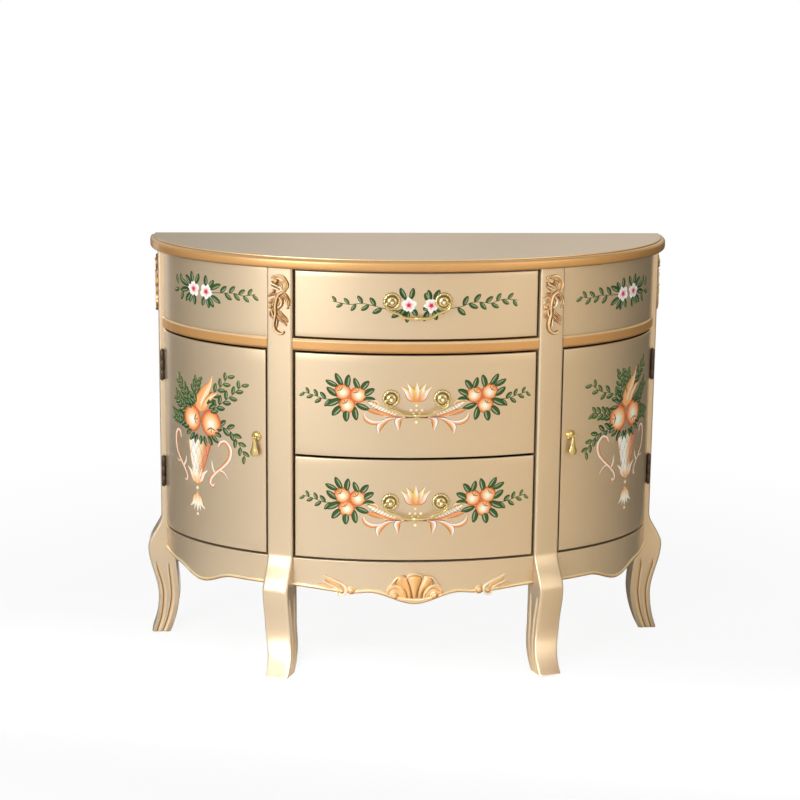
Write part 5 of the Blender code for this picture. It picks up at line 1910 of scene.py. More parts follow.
class Brush(Relief):
    """Thin strokes of paint, each a little higher than the one before, so that it covers it."""

    crown: float = 0.00020
    sink: float = 0.00003
    rise: float = 0.0000016
    flatness: float = 0.4
    stem: float = 0.00065

    def __init__(self, mapping: Mapping, seed: int) -> None:
        """Hold the mapping, and start the hand's own small unevenness."""
        super().__init__(mapping, gilt=0.0)
        self.strokes = 0
        self.random = np.random.default_rng(seed)

    def cover(self, across: Array, up: Array, dome: Array, tint: Array) -> None:
        """Lay one stroke whose dome is 0 at its rim and 1 at its crown."""
        self.strokes += 1
        out = (self.crown + self.sink) * unit(dome) ** self.flatness - self.sink
        self.lay(across, up, out + self.rise * self.strokes, tint=tint)

    def leaf(self, x: float, y: float, heading: float, length: float, width: float,
             bend: float = 0.0, fresh: float = 0.0) -> None:
        """Pointed leaf: near black edges, a green body, and a light streak beside its rib.

        Args:
            x, y: its foot.
            heading: direction in degrees, counted from the right.
            length, width: its size.
            bend: degrees that it turns on its way to the tip.
            fresh: share of yellow green in it.
        """
        share = gathered(15)
        turn = np.radians(heading + bend * (share - 0.5))
        step = np.gradient(share) * length
        line = np.stack([np.cumsum(np.cos(turn) * step), np.cumsum(np.sin(turn) * step)], axis=1)
        line -= line[0]
        half = (width / 2 * np.sin(np.pi * share ** 0.90) ** 0.62)[:, None]
        over = crosswise(15)
        swell = np.sin(np.pi * share)[:, None]
        body = blend(Tone.LEAF_DARK, Tone.LEAF, 1.9 * (1 - np.abs(over)) * swell ** 0.5)
        body = Tone.LEAF_TIP.over(body, fresh * (1 - 0.5 * np.abs(over)) + 0 * swell)
        streak = bell(over, 0.34 if bend >= 0 else -0.34, 0.17) * unit(3.2 * swell - 1.5)
        body = Tone.LEAF_LIGHT.over(body, 0.80 * streak)
        body = Tone.LEAF_DARK.over(body, 0.75 * bell(over, 0.0, 0.07) * swell)
        self.cover(x + line[:, :1] - np.sin(turn)[:, None] * half * over,
                   y + line[:, 1:] + np.cos(turn)[:, None] * half * over,
                   (1 - over ** 2) * swell ** 0.5, body)

    def ribbon(self, path: Path, left: Tone, right: Tone, count: int = 26,
               edge: Optional[Tone] = None, foot: Optional[Tone] = None) -> None:
        """Stroke along a curve, loaded with two tones side by side.

        Args:
            path: rows of across, up and half width.
            left, right: tones of its two sides.
            count: number of stations.
            edge: tone of a thin outline on both sides.
            foot: tone that the stroke starts in.
        """
        points, sideways, half = self.centre_line(path, count)
        over, half = crosswise(13), half[:, None]
        tint = blend(right, left, 0.5 + 1.3 * over + 0 * half)
        if foot:
            run = np.linspace(0.0, 1.0, count)[:, None]
            tint = foot.over(tint, 1.5 - 2.6 * run + 0 * over)
        if edge:
            tint = edge.over(tint, (np.abs(over) - 0.78) / 0.14 + 0 * half)
        dome = (1 - over ** 2) * (half / np.maximum(points[:, 2:], 1e-9))
        self.cover(points[:, :1] + sideways[:, :1] * half * over,
                   points[:, 1:2] + sideways[:, 1:2] * half * over, dome, tint)

    def ribbons(self, strokes: Iterable[tuple]) -> None:
        """Strokes along curves, each given as for one ribbon."""
        for stroke in strokes:
            self.ribbon(*stroke)

    def disc(self, x: float, y: float, wide: float, high: float, tilt: float,
             colours: Callable[[Array, Array], Array], petals: int = 0, count: int = 9) -> None:
        """Round dab whose colours are a function of its own unit places.

        Args:
            x, y: its middle.
            wide, high: its half sizes.
            tilt: degrees that it is turned by.
            colours: function of the two unit coordinates.
            petals: number of soft lobes of its rim.
            count: number of rings.
        """
        share, turn = np.sin(quarter(count))[:, None], circle(32)
        edge = 1 + (0.06 * np.cos(petals * turn) if petals else 0.0)
        unit_x, unit_y = share * np.cos(turn) * edge, share * np.sin(turn) * edge
        lean = np.radians(tilt)
        self.cover(x + wide * unit_x * np.cos(lean) - high * unit_y * np.sin(lean),
                   y + wide * unit_x * np.sin(lean) + high * unit_y * np.cos(lean),
                   1 - share ** 2 + 0 * turn, colours(unit_x, unit_y))

    def fruit(self, x: float, y: float, wide: float, high: float, eye: float = 90.0) -> None:
        """Ripe fruit: a rusty outline, an orange rim, a wide cream light, and a dark stalk end.

        Args:
            x, y: its middle.
            wide, high: its half sizes.
            eye: direction of its stalk end in degrees.
        """
        def colours(across: Array, up: Array) -> Array:
            """Colours of its skin."""
            rim = np.hypot(across, up)
            body = blend(Tone.PEACH, Tone.ORANGE, (rim - 0.60) / 0.24)
            body = Tone.RUST.over(body, 0.85 * unit((rim - 0.90) / 0.07))
            light = np.exp(-(((across + 0.04) / 0.48) ** 2 + ((up + 0.08) / 0.48) ** 2))
            return Tone.WHITE.over(Tone.CREAM.over(body, 1.3 * light), 1.2 * light ** 4)
        self.disc(x, y, wide, high, 0.0, colours, count=14)
        turn = np.radians(eye)
        along, side = np.array([[np.cos(turn), np.sin(turn)], [-np.sin(turn), np.cos(turn)]])
        foot = np.array([x, y]) + 0.50 * along * (wide, high)
        path = [(*(foot + 0.42 * wide * step * side - 0.20 * wide * (1 - abs(step)) * along),
                 0.080 * wide * (1.7 - abs(step))) for step in (-1.0, -0.45, 0.0, 0.45, 1.0)]
        self.ribbon(path, Tone.BROWN, Tone.RUST, 16)
        path = [(*(foot + reach * wide * along), half * wide)
                for reach, half in ((-0.26, 0.03), (0.02, 0.06), (0.20, 0.03))]
        self.ribbon(path, Tone.BROWN, Tone.BROWN, 10)

    def pearl(self, x: float, y: float, radius: float) -> None:
        """Small bead with a light from the upper left.

        Args:
            x, y: its middle.
            radius: its size.
        """
        def colours(across: Array, up: Array) -> Array:
            """Colours of the bead."""
            light = np.exp(-(((across + 0.15) / 0.6) ** 2 + ((up - 0.2) / 0.6) ** 2))
            rim = 0.7 * unit((np.hypot(across, up) - 0.85) / 0.15)
            return Tone.RUST.over(blend(Tone.YELLOW, Tone.WHITE, 1.2 * light), rim)
        self.disc(x, y, radius, radius, 0.0, colours)

    def blossom(self, x: float, y: float, radius: float, turn: float) -> None:
        """White flower of five broad petals with a rose-red heart.

        Args:
            x, y: its middle.
            radius: its size.
            turn: direction of its first petal in degrees.
        """
        def petal(across: Array, up: Array) -> Array:
            """Colours of a petal."""
            heart = np.exp(-(((across + 1.05) / 0.80) ** 2 + (up / 0.50) ** 2))
            return blend(Tone.WHITE, Tone.PINK, 1.3 * heart)

        def core(across: Array, up: Array) -> Array:
            """Colours of the heart."""
            return blend(Tone.RED, Tone.PINK, 1.1 * np.hypot(across, up) ** 2)
        for number in range(5):
            angle = turn + 72.0 * number
            lean = np.radians(angle)
            self.disc(x + 0.56 * radius * np.cos(lean), y + 0.56 * radius * np.sin(lean),
                      0.47 * radius, 0.42 * radius, angle, petal)
        self.disc(x, y, 0.36 * radius, 0.36 * radius, turn, core, petals=5)

    def sprig(self, path: Array, leaves: int, length: float, width: float, splay: float = 46.0,
              taper: float = 0.40, first: float = 0.10, fresh: float = 0.5) -> None:
        """Stem with leaves by turns on its two sides, smaller and fresher towards its tip.

        Args:
            path: rows of across and up.
            leaves: number of leaves.
            length, width: size of the first leaf.
            splay: degrees between a leaf and the stem.
            taper: how much smaller the last leaf is, as a share.
            first: place of the first leaf, as a share of the stem.
            fresh: share of yellow green in the last leaf.
        """
        stem = np.concatenate([path, np.full((len(path), 1), self.stem)], axis=1)
        self.ribbon(stem, Tone.STEM, Tone.STEM, 30)
        dense = smooth_path(path, 200)
        run = run_of(dense)

        def spot(share: float) -> Array:
            """Place at a share of the stem."""
            place = np.clip(share, 0.0, 1.0) * run[-1]
            return np.array([np.interp(place, run, dense[:, axis]) for axis in (0, 1)])
        for number in range(leaves):
            share = first + (0.94 - first) * number / max(leaves - 1, 1)
            ahead = spot(share + 0.04) - spot(share - 0.04)
            size, hand = 1 - taper * share, 1 if number % 2 else -1
            heading = np.degrees(np.arctan2(ahead[1], ahead[0])) + hand * splay
            self.leaf(*spot(share), heading + self.random.uniform(-8.0, 8.0), length * size,
                      width * size, -hand * 16.0, fresh * share)

    def fan(self, feet: Array, tips: Array, width: float) -> None:
        """Leaves that begin on the way from the nearest of several feet out to each tip.

        Args:
            feet, tips: rows of across and up.
            width: width of a leaf.
        """
        for number, tip in enumerate(tips):
            root = feet[np.argmin(np.linalg.norm(feet - tip, axis=1))]
            reach = (tip - root) * 0.70
            self.leaf(*(tip - reach), np.degrees(np.arctan2(reach[1], reach[0])),
                      float(np.hypot(*reach)), width, 14.0 if number % 2 else -14.0,
                      0.1 * (number % 3))

    def wreath(self, x: float, y: float, wide: float, high: float, headings: Sequence[float],
               length: float, width: float) -> None:
        """Leaves that stand out round an oval middle, one for each heading in degrees.

        Args:
            x, y: middle of the oval.
            wide, high: its half sizes.
            headings: directions of the leaves.
            length, width: size of a leaf.
        """
        for number, heading in enumerate(headings):
            lean = np.radians(heading)
            size = 1 + 0.12 * self.random.uniform(-1.0, 1.0)
            self.leaf(x + wide * np.cos(lean), y + high * np.sin(lean),
                      heading + self.random.uniform(-9.0, 9.0), length * size, width,
                      14.0 if number % 2 else -14.0, 0.1 * (number % 3))


class DrawerPainting:
    """Ornament of the two deep drawers: fruit, plumes and scrolls on both sides of a tulip.

    Paths here and in the other ornaments are in tenths of a millimetre, and headings in degrees.
    """

    fruit_radius: float = 0.0172
    fruits: Array = rows(1478, 112, 50, 1162, 62, 60, 1390, -160, 60, parts=(10000, 10000, 1))
    leaves: Array = rows(
        1390, 170, 99, 300, 125, 1470, 220, 58, 310, 120, 1560, 220, 28, 290, 110,
        1130, 150, 70, 280, 115, 1120, 140, 126, 270, 125, 1080, 30, 153, 290, 130,
        1080, -40, 172, 260, 115, 1220, -120, 198, 310, 120, 1240, -170, 258, 300, 130,
        1390, -220, 278, 280, 140, 1480, -170, 318, 300, 140, 1500, -40, 330, 330, 140,
        1570, 20, 38, 290, 125, parts=(10000, 10000, 1, 10000, 10000), wide=5)
    sprig: Array = rows(1600, -40, 1840, -50, 2080, 20, 2290, 70, wide=2)
    plumes: tuple = (
        (rows(1040, -215, 14, 860, -270, 48, 620, -320, 46, 340, -375, 12),
         Tone.ROSE, Tone.AMBER, 30, Tone.RUST),
        (rows(960, -80, 16, 820, -160, 50, 620, -250, 46, 400, -345, 12),
         Tone.WHITE, Tone.CREAM, 30, Tone.BROWN))
    scrolls: tuple = (
        (rows(1040, -75, 16, 930, -50, 30, 800, -75, 30, 740, -140, 12),
         Tone.PEACH, Tone.CREAM, 24, Tone.RUST),
        (rows(0, -375, 12, 200, -390, 14, 400, -385, 14, 600, -395, 8), Tone.RUST, Tone.BROWN, 22),
        (rows(580, -415, 8, 720, -490, 30, 880, -500, 48, 1010, -430, 44, 1060, -310, 12),
         Tone.WHITE, Tone.AMBER, 34, Tone.RUST),
        (rows(220, -385, 8, 315, -410, 40, 370, -480, 70, 345, -660, 10),
         Tone.WHITE, Tone.AMBER, 30, Tone.BROWN),
        (rows(380, -390, 8, 550, -430, 34, 680, -510, 60, 745, -600, 62, 745, -725, 10),
         Tone.WHITE, Tone.AMBER, 34, Tone.BROWN))
    petals: tuple = (rows(40, -60, 30, 125, 30, 80, 195, 140, 56, 300, 235, 6),
                     rows(30, -50, 30, 80, 80, 76, 120, 200, 52, 190, 310, 6))
    middle_petal: Array = rows(0, -80, 40, 0, 60, 84, 0, 200, 56, 0, 335, 6)
    stamen: Array = rows(55, -10, 6, 75, 70, 10, 85, 120, 3)
    pearls: Array = rows(0, -150, 36, 0, -245, 34, 0, -370, 34, 0, -490, 42, -110, -245, 40,
                         110, -245, 40, -60, -310, 28, 60, -310, 28)

    def barbs(self, brush: Brush) -> None:
        """Barbs between the two feathers, shorter towards their tips.

        Args:
            brush: brush on the panel.
        """
        for number in range(8):
            foot = (0.092 - 0.0060 * number, -0.0185 - 0.0024 * number, 0.0)
            size = np.ones((3, 3))
            size[1:, 1] = 1 - 0.05 * number
            brush.ribbon(foot + rows(0, 0, 5, -35, 45, 9, -80, 80, 4) * size,
                         Tone.BROWN, Tone.RUST, 10)
            brush.ribbon(foot + rows(-15, 5, 6, -50, 50, 12, -95, 85, 5) * size,
                         Tone.WHITE, Tone.CREAM, 10)
            brush.ribbon(foot + rows(30, -50, 5, -30, -58, 9, -80, -50, 4),
                         Tone.CREAM, Tone.PEACH, 10)

    def tulip(self, brush: Brush) -> None:
        """Tulip in the middle over a string of pearls.

        Args:
            brush: brush on the panel.
        """
        tones = (Tone.YELLOW, Tone.WHITE)
        for path in self.petals:
            for side in (-1, 1):
                brush.ribbon(moved(path, side), *tones[::side], 30, Tone.RUST, Tone.AMBER)
        brush.ribbon(self.middle_petal, *tones, 30, Tone.RUST, Tone.AMBER)
        for side in (-1, 1):
            brush.ribbon(moved(self.stamen, side), Tone.RUST, Tone.RUST, 30)
        for pearl in self.pearls:
            brush.pearl(*pearl)

    def paint(self, brush: Brush) -> None:
        """Paint both sides and the tulip.

        Args:
            brush: brush on the panel.
        """
        for flip in (-1.0, 1.0):
            brush.flip = flip
            brush.ribbons(self.plumes)
            self.barbs(brush)
            brush.ribbons(self.scrolls)
            brush.sprig(self.sprig, 7, 0.0205, 0.0096, 48.0, 0.36, 0.18)
            for x, y, heading, length, width in self.leaves:
                brush.leaf(x, y, heading + brush.random.uniform(-6.0, 6.0), length, width,
                           14.0 if heading < 180 else -14.0, 0.15)
            for x, y, eye in self.fruits:
                brush.fruit(x, y, self.fruit_radius, self.fruit_radius * 0.98, eye)
        self.tulip(brush)


class TopPainting:
    """Ornament of the top drawer: two white flowers between two long sprigs."""

    flowers: Array = rows(-176, -78, 268, -85, wide=2)
    radius: float = 0.0152
    turns: tuple[float, float] = (18.0, 30.0)
    sprigs: tuple = (
        (rows(-360, -200, -660, -150, -940, -80, -1130, -55, -1360, -80, -1690, -25, wide=2),
         9, 0.0250, 0.0116, 46.0, 0.45, 0.16),
        (rows(480, -180, 700, -140, 880, -110, 1060, -40, 1250, -30, 1460, -60, 1720, 10,
              2020, -20, wide=2), 11, 0.0245, 0.0112, 46.0, 0.35, 0.20))
    leaves: tuple = ()
    tips: Array = rows(
        -350, 270, -90, 270, 140, 170, 200, 230, 435, 230, 106, -175, -10, -290, -210, -430,
        -520, -330, 120, -400, 376, -380, 540, -240, -340, -300, wide=2)
    tip_width: float = 0.0110

    def paint(self, brush: Brush) -> None:
        """Paint the sprigs, the leaves round the flowers and the flowers.

        Args:
            brush: brush on the panel.
        """
        for sprig in self.sprigs:
            brush.sprig(*sprig)
        for x, y, heading in self.leaves:
            brush.leaf(x, y, heading, 0.0210, 0.0095, 12.0, 0.3)
        brush.fan(self.flowers, self.tips, self.tip_width)
        for number, (x, y) in enumerate(self.flowers):
            brush.blossom(x, y, self.radius, self.turns[0] + self.turns[1] * number)


class FriezePainting(TopPainting):
    """Ornament of a frieze: two white flowers in leaves, and a sprig towards the middle."""

    flowers: Array = rows(150, 10, -205, -10, wide=2)
    radius: float = 0.0162
    turns: tuple[float, float] = (12.0, 36.0)
    sprigs: tuple = ((rows(-340, -10, -630, 10, -900, 30, -1130, 0, -1400, 50, wide=2),
                      8, 0.0235, 0.0105, 46.0, 0.30, 0.22, 0.6),)
    leaves: Array = rows(660, 40, 74, 500, 80, 66, 620, -40, -18, 480, -80, -64,
                         parts=(10000, 10000, 1))
    tips: Array = rows(
        400, 270, 210, 370, -10, 340, -200, 330, -410, 250, -590, 180, 400, -270, 120, -320,
        -100, -310, -280, -340, -410, -310, -580, -210, 580, -70, 600, 170, 280, -280, wide=2)
    tip_width: float = 0.0108


@dataclass
class DoorPainting:
    """Ornament of a door: a latticed urn with scroll handles, filled with fruit and sprays.

    Across runs away from the middle of the cabinet.
    """

    fruit_shift: float
    pear_turn: int
    urn_shift: float
    sprays: tuple[Array, ...]
    urn_top: float = 0.004
    urn_bottom: float = -0.082
    urn_half_top: float = 0.0355
    urn_half_bottom: float = 0.0120
    lattice_half: float = 0.0009
    handles: ClassVar = (
        (rows(-600, -40, 30, -660, 60, 34, -780, 90, 40, -895, -60, 46, -860, -260, 44,
              -700, -440, 36, -540, -570, 34, -400, -720, 36, -370, -840, 34, -450, -890, 30,
              -490, -830, 22), Tone.AMBER, Tone.WHITE, 90, Tone.RUST),
        (rows(-580, -520, 20, -720, -560, 30, -840, -690, 10), Tone.AMBER, Tone.WHITE, 20,
         Tone.RUST),
        (rows(-500, -600, 28, -440, -480, 24, -420, -340, 8), Tone.CREAM, Tone.WHITE, 20,
         Tone.BROWN),
        (rows(530, -20, 24, 570, 100, 32, 660, 110, 36, 725, -60, 38, 680, -300, 36, 550, -480, 32,
              420, -620, 30, 310, -780, 30, 330, -890, 26, 400, -880, 18),
         Tone.WHITE, Tone.AMBER, 80, Tone.RUST),
        (rows(520, -520, 20, 620, -540, 24, 700, -500, 8), Tone.CREAM, Tone.PEACH, 20, Tone.RUST),
        (rows(440, -600, 26, 370, -500, 24, 340, -380, 8), Tone.WHITE, Tone.CREAM, 20, Tone.BROWN))
    lily_petals: ClassVar = (
        rows(20, -890, 30, 120, -800, 56, 190, -670, 40, 300, -580, 8),
        rows(20, -880, 30, 80, -730, 48, 140, -560, 8),
        rows(10, -1130, 20, 90, -1230, 52, 130, -1340, 38, 225, -1420, 8),
        rows(10, -1140, 20, 50, -1280, 44, 100, -1480, 8))
    middle_petals: ClassVar = (rows(0, -910, 30, 0, -740, 56, 0, -520, 8),
                               rows(0, -1100, 30, 0, -1260, 56, 0, -1500, 8))
    pear: ClassVar = (
        rows(40, 680, 100, 120, 860, 110, 280, 1000, 66, 460, 1080, 6),
        rows(-10, 640, 110, 10, 830, 172, 140, 1080, 118, 260, 1240, 56, 340, 1440, 6))
    pear_light: ClassVar = rows(0, 740, 30, 20, 840, 80, 120, 1020, 50, 200, 1160, 10)
    pear_split: ClassVar = rows(60, 800, 6, 180, 960, 14, 320, 1100, 5)
    wreaths: ClassVar = (
        (0.036, 0.036, 0.022, (186, 204, 222, 240, 256, 272, 288, 304, 322, 342), 0.0235, 0.0105),
        (0.064, 0.026, 0.016, (10, 34, 62, 90, 118, 146, 170), 0.0245, 0.0100))

    def spot(self, over: Array, share: Array) -> tuple[Array, Array]:
        """Place on the urn from its width and its height."""
        half = self.urn_half_bottom + (self.urn_half_top - self.urn_half_bottom) * share
        return (self.urn_shift * share + half * over,
                self.urn_bottom + (self.urn_top - self.urn_bottom) * share)

    def urn(self, brush: Brush) -> None:
        """Tapering urn: light on one side and rosy on the other, with a lattice over it.

        Args:
            brush: brush on the panel.
        """
        share, over = gathered(17)[:, None], crosswise(17)
        flat = 1 - (2 * share - 1) ** 24
        across, up = self.spot(over * np.sqrt(unit(flat)), share)
        lit = over * (-self.pear_turn)
        tint = blend(Tone.CREAM, Tone.ROSE, -1.9 * lit - 0.1 + 0 * share)
        tint = Tone.WHITE.over(tint, 1.1 * bell(lit, 0.45, 0.35) + 0 * share)
        tint = Tone.RUST.over(tint, (np.abs(over) - 0.90) / 0.10 + 0 * share)
        brush.cover(across, up + 0 * over, (1 - over ** 8) * flat, tint)
        for slope in (-1, 1):
            for number in range(-3, 5):
                level = np.linspace(0.0, 1.0, 25)
                place = slope * (1.5 * level - 0.75) + 0.55 * number
                inside = np.abs(place) < 0.97
                place, level = place[inside][::4], level[inside][::4]
                if len(place) > 1:
                    half = np.full(len(place), self.lattice_half)
                    brush.ribbon(np.stack([*self.spot(place, level), half], axis=1),
                                 Tone.BROWN, Tone.ROSE, 16)

    def lily(self, brush: Brush) -> None:
        """Open lily that holds the urn's foot, and the bellflower that hangs under it.

        Args:
            brush: brush on the panel.
        """
        for side in (-1, 1):
            for path in self.lily_petals:
                brush.ribbon(moved(path, side), *(Tone.CREAM, Tone.WHITE)[::side], 26, Tone.RUST,
                             Tone.PEACH)
        for path in self.middle_petals:
            brush.ribbon(path, Tone.CREAM, Tone.WHITE, 24, None, Tone.YELLOW)
        brush.pearl(0.0, -0.1000, 0.0044)
        brush.pearl(0.0, -0.1560, 0.0042)

    def fruit(self, brush: Brush) -> None:
        """Two round fruits and a pear with a split tip above them.

        Args:
            brush: brush on the panel.
        """
        shift, turn = self.fruit_shift, self.pear_turn
        brush.fruit(0.0140 + shift, 0.0465, 0.0262, 0.0285, 180.0 if turn < 0 else 280.0)
        foot = -0.0120 + shift
        for path in self.pear:
            brush.ribbon(moved(path, turn, foot), *(Tone.PEACH, Tone.CREAM)[::turn], 40,
                         Tone.ORANGE, Tone.PEACH)
        brush.ribbon(moved(self.pear_light, turn, foot), Tone.WHITE, Tone.CREAM, 24)
        brush.ribbon(moved(self.pear_split, turn, foot), Tone.BROWN, Tone.BROWN, 30)
        brush.fruit(-0.0400 + shift, 0.0430, 0.0268, 0.0290, 265.0 if turn < 0 else 180.0)

    def paint(self, brush: Brush) -> None:
        """Paint the door's ornament from the back to the front.

        Args:
            brush: brush on the panel.
        """
        for spray in self.sprays:
            brush.sprig(spray, 10, 0.0240, 0.0112, 40.0, 0.26, 0.14, 0.55)
        brush.ribbons(self.handles)
        self.urn(brush)
        self.lily(brush)
        middle = -0.013 + self.fruit_shift
        for wreath in self.wreaths:
            brush.wreath(middle, *wreath)
        self.fruit(brush)


def sprays(*paths: tuple[int, ...]) -> tuple[Array, ...]:
    """Stems of the sprays in an urn, as rows of across and up in millimetres."""
    return tuple(rows(*path, parts=1000, wide=2) for path in paths)


LEFT_DOOR = DoorPainting(0.0, -1, -0.007, sprays(
    (-12, 70, -36, 98, -66, 122, -88, 150), (-34, 62, -62, 84, -98, 112, -122, 136),
    (-46, 40, -86, 36, -110, 9, -126, -20), (0, 70, 6, 98, -4, 130), (8, 66, 36, 98, 60, 122),
    (20, 56, 44, 68, 70, 86), (26, 40, 55, 40, 80, 44)))
RIGHT_DOOR = DoorPainting(0.008, 1, 0.001, sprays(
    (-12, 62, -48, 96, -84, 106, -117, 127), (-36, 46, -72, 57, -108, 64),
    (-40, 24, -84, 19, -108, 3, -125, -21), (-12, 70, -24, 105, -28, 140),
    (0, 80, -2, 110, -8, 140), (10, 90, 34, 120, 66, 148), (26, 60, 48, 80, 72, 104),
    (30, 46, 60, 42, 84, 34)))


@dataclass
class Paintings:
    """All the painted ornament, one piece for each panel that carries it."""

    finishes: Finishes
    sides: ClassVar = ((LEFT_DOOR, (0.480, 0.4560), (0.470, 0.7720)),
                       (RIGHT_DOOR, (0.491, 0.4620), (0.4825, 0.7665)))

    def paint(self, design: object, place: Mapping, seed: int, label: str, body: str) -> None:
        """Paint the strokes of one panel."""
        brush = Brush(place, seed)
        design.paint(brush)
        brush.form.install(f"painting_{label}", self.finishes.paint, body, sharp=80.0)

    def build(self) -> None:
        """Paint the drawers, the friezes and the doors."""
        for label in DRAWERS:
            low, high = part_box(f"rosette_{label}_right")
            design = TopPainting() if label == "top" else DrawerPainting()
            self.paint(design, curved_mapping(0.0, (low.z + high.z) / 2), len(label),
                       f"drawer_{label}", f"drawer_{label}")
        for (side, label), (design, door, frieze) in zip(SIDES, self.sides):
            self.paint(FriezePainting(), curved_mapping(*frieze, side), 11 + side,
                       f"frieze_{label}", "carcass")
            self.paint(design, curved_mapping(*door, side), 21 + side, f"door_{label}",
                       f"door_{label}")


# Plain boards that stay as they are imported


def dress_boards(finishes: Finishes) -> None:
    """Give the flat inner boards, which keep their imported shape, their wood.

    Args:
        finishes: the looks.
    """
    wood = ("divider", "bottom_board", "drawer_side", "drawer_back")
    for name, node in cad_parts.items():
        if not node.hide_render:
            look = finishes.board if name.startswith(wood) else finishes.sheet
            node.data.materials.clear()
            node.data.materials.append(look.material)


# Studio


@dataclass(frozen=True)
class Lamp:
    """Soft lamp that looks at a point of the cabinet. Its spread is an angle in degrees."""

    name: str
    place: Spot
    size: float
    power: float
    target: Spot = (0.0, 0.0, 0.45)
    height: Optional[float] = None
    spread: float = 180.0

    def build(self) -> None:
        """Add the lamp to the scene."""
        data = bpy.data.lights.new(self.name, "AREA")
        data.shape = "RECTANGLE"
        data.size = self.size
        data.size_y = self.height or self.size
        data.spread = np.radians(self.spread)
        data.energy = self.power
        lamp = bpy.data.objects.new(self.name, data)
        lamp.location = self.place
        aim = Vector(self.target) - Vector(self.place)
        lamp.rotation_euler = aim.to_track_quat("-Z", "Y").to_euler()
        bpy.context.scene.collection.objects.link(lamp)


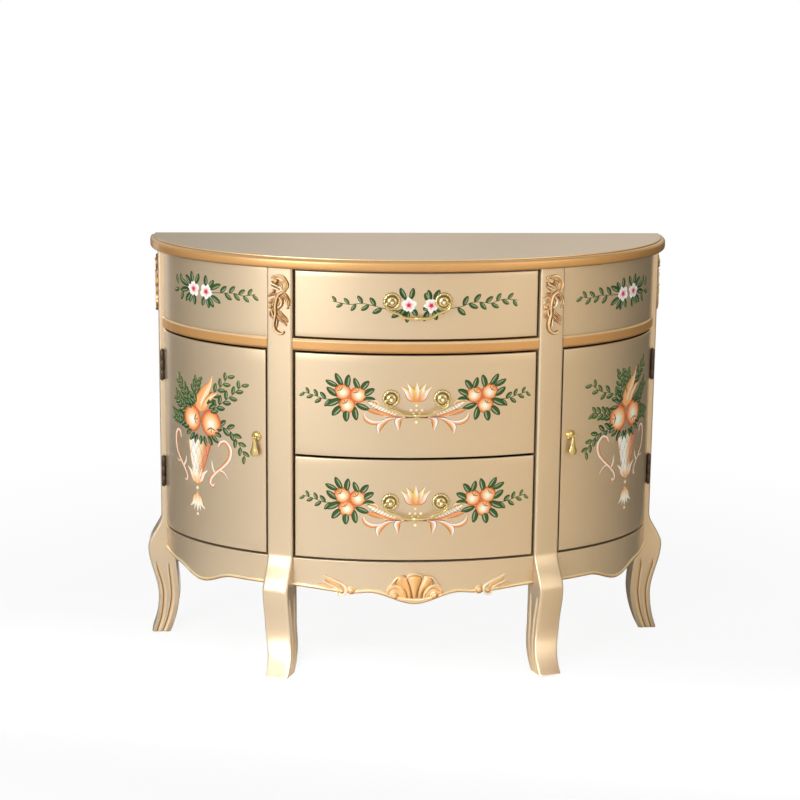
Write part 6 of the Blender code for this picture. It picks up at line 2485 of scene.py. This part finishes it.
@dataclass
class Studio:
    """Camera, lamps, white surroundings and a pale floor that keeps the cabinet's shadow."""

    camera_place: Spot = (-0.273, -4.367956, 1.551)
    yaw: float = -3.26
    pitch: float = 13.014
    roll: float = 0.586
    lens: float = 97.97
    sensor: float = 36.0
    floor_size: float = 60.0
    floor_white: float = 0.90
    shadow_reach: float = 0.9
    world_light: float = 0.34
    room_right: float = 0.88
    room_back: float = 0.11
    wall_low: float = 0.46
    wall_high: float = 0.64
    warm_side: Colour = (255, 236, 200)
    band_scale: float = 9.0
    lamps: tuple[Lamp, ...] = (
        Lamp("key_lamp", (-2.6, -3.6, 1.7), 2.2, 115.0),
        Lamp("leg_lamp", (-0.7, -3.1, 3.2), 2.6, 4.8, (0.0, -0.42, 0.07), 0.2, 8.0),
        Lamp("fill_lamp", (2.8, -3.0, 1.6), 2.4, 22.0),
        Lamp("back_lamp", (0.4, 2.6, 2.6), 2.0, 8.0))

    def camera(self) -> None:
        """Add the camera: it looks along +Y, turned by the yaw, tipped down and rolled."""
        yaw, pitch, roll = np.radians([self.yaw, self.pitch, self.roll])
        forward = np.array([-np.sin(yaw) * np.cos(pitch), np.cos(yaw) * np.cos(pitch),
                            -np.sin(pitch)])
        right = np.array([np.cos(yaw), np.sin(yaw), 0.0])
        up = np.cross(right, forward)
        axes = [np.cos(roll) * right + np.sin(roll) * up,
                -np.sin(roll) * right + np.cos(roll) * up, -forward]
        data = bpy.data.cameras.new("camera")
        data.lens = self.lens
        data.sensor_width = self.sensor
        thing = bpy.data.objects.new("camera", data)
        turn = Matrix(np.stack(axes, axis=1).tolist()).to_4x4()
        thing.matrix_world = Matrix.Translation(self.camera_place) @ turn
        bpy.context.scene.collection.objects.link(thing)
        bpy.context.scene.camera = thing

    @staticmethod
    def seen_directly(helper: Tree) -> Socket:
        """Mask of the rays that show the background: camera, glossy and transmission rays."""
        rays = helper.add("LightPath").outputs
        some = helper.math("MAXIMUM", rays["Is Camera Ray"], rays["Is Glossy Ray"])
        return helper.math("MAXIMUM", some, rays["Is Transmission Ray"])

    def room(self) -> None:
        """Shared group: the light of the room that shows in glossy pieces, by direction.

        It is brightest at the front left, falls off evenly to the right and towards the back, and
        has a narrow window at the back left. Its back wall is lighter again, with faint upright
        bands, and its right side is warmer than its left.
        """
        helper, given, out = new_group("Room", {"Vector": VECTOR}, {"Color": COLOUR})
        ahead = helper.add("VectorMath", {0: given["Vector"]}, operation="NORMALIZE")
        x, y, z = helper.add("SeparateXYZ", {0: ahead.outputs[0]}).outputs

        def times(*sockets: object) -> Socket:
            """Product of two numbers."""
            return helper.math("MULTIPLY", *sockets)
        fall = helper.remap
        walls = times(fall(x, -0.5, 0.9, 1.0, self.room_right),
                      fall(y, -0.80, 0.28, 1.0, self.room_back))
        window = times(times(fall(x, -0.80, -0.70), fall(x, -0.62, -0.52, 1.0, 0.0)),
                       fall(y, 0.30, 0.45))
        bands = helper.add("TexNoise", {"W": times(x, self.band_scale), "Scale": 1.0,
                                        "Detail": 0.0}, noise_dimensions="1D")
        wall = fall(bands.outputs["Fac"], 0.44, 0.56, self.wall_low, self.wall_high)
        both = helper.average(times(fall(z, 0.02, 0.14), fall(y, 0.0, 0.6)),
                              helper.math("MAXIMUM", walls, window), wall)
        warmth = helper.mix(fall(x, -0.35, 0.75), WHITE, rgba(self.warm_side))
        helper.fill(out, {"Color": helper.scaled(warmth, both)})

    def surroundings(self) -> None:
        """World: white to the camera, the room to glossy rays, and a plain level to matt pieces."""
        world = bpy.data.worlds.new("studio")
        world.use_nodes = True
        bpy.context.scene.world = world
        helper = Tree(world.node_tree)
        shown = helper.group("Room", {"Vector": helper.add("TexCoord").outputs["Generated"]})
        plain = (self.world_light,) * 3 + (1.0,)
        lit = helper.mix(self.seen_directly(helper), plain, shown.outputs[0])
        camera = helper.add("LightPath").outputs["Is Camera Ray"]
        helper.fill(world.node_tree.nodes["Background"], {"Color": helper.mix(camera, lit, WHITE)})

    def floor(self) -> None:
        """Pale floor: nearly white to the camera, and matt for the light, so a shadow stays."""
        half = self.floor_size / 2
        mesh = bpy.data.meshes.new("floor")
        mesh.from_pydata([(-half, -half, 0.0), (half, -half, 0.0), (half, half, 0.0),
                          (-half, half, 0.0)], [], [(0, 1, 2, 3)])
        material = bpy.data.materials.new("pale_floor")
        material.use_nodes = True
        helper = Tree(material.node_tree)
        matt = helper.add("BsdfDiffuse", {"Color": (0.9, 0.9, 0.9, 1.0)})
        position = helper.add("NewGeometry").outputs["Position"]
        shown = helper.group("Room", {"Vector": position}).outputs[0]
        camera = helper.add("LightPath").outputs["Is Camera Ray"]
        white = helper.add("Emission", {"Color": helper.mix(camera, shown, WHITE)})
        distance = helper.add("VectorMath", {0: position}, operation="LENGTH").outputs["Value"]
        whiteness = helper.remap(distance, self.shadow_reach, 2 * self.shadow_reach,
                                 self.floor_white, 1.0)
        share = helper.math("MULTIPLY", self.seen_directly(helper), whiteness)
        mix = helper.add("MixShader", {0: share, 1: matt.outputs[0], 2: white.outputs[0]})
        helper.fill(material.node_tree.nodes["Material Output"], {"Surface": mix.outputs[0]})
        mesh.materials.append(material)
        thing = bpy.data.objects.new("floor", mesh)
        bpy.context.scene.collection.objects.link(thing)

    def build(self) -> None:
        """Set the scene up for the render."""
        bpy.context.scene.view_settings.view_transform = "Standard"
        self.camera()
        self.room()
        self.surroundings()
        self.floor()
        for lamp in self.lamps:
            lamp.build()


def main() -> None:
    """Dress the cabinet and set up the studio."""
    logging.basicConfig(level=logging.INFO, format="%(name)s: %(message)s")
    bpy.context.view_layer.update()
    finishes = Finishes()
    Studio().build()
    Fronts(finishes).build()
    Rails(finishes).build()
    aprons = Aprons(finishes)
    aprons.build()
    for kind in (TopBoard, Legs, Mounts):
        kind(finishes).build()
    ApronCarving(finishes, aprons).build()
    for kind in (Handles, Pulls, Hinges, Paintings):
        kind(finishes).build()
    dress_boards(finishes)


if __name__ == "__main__":
    main()
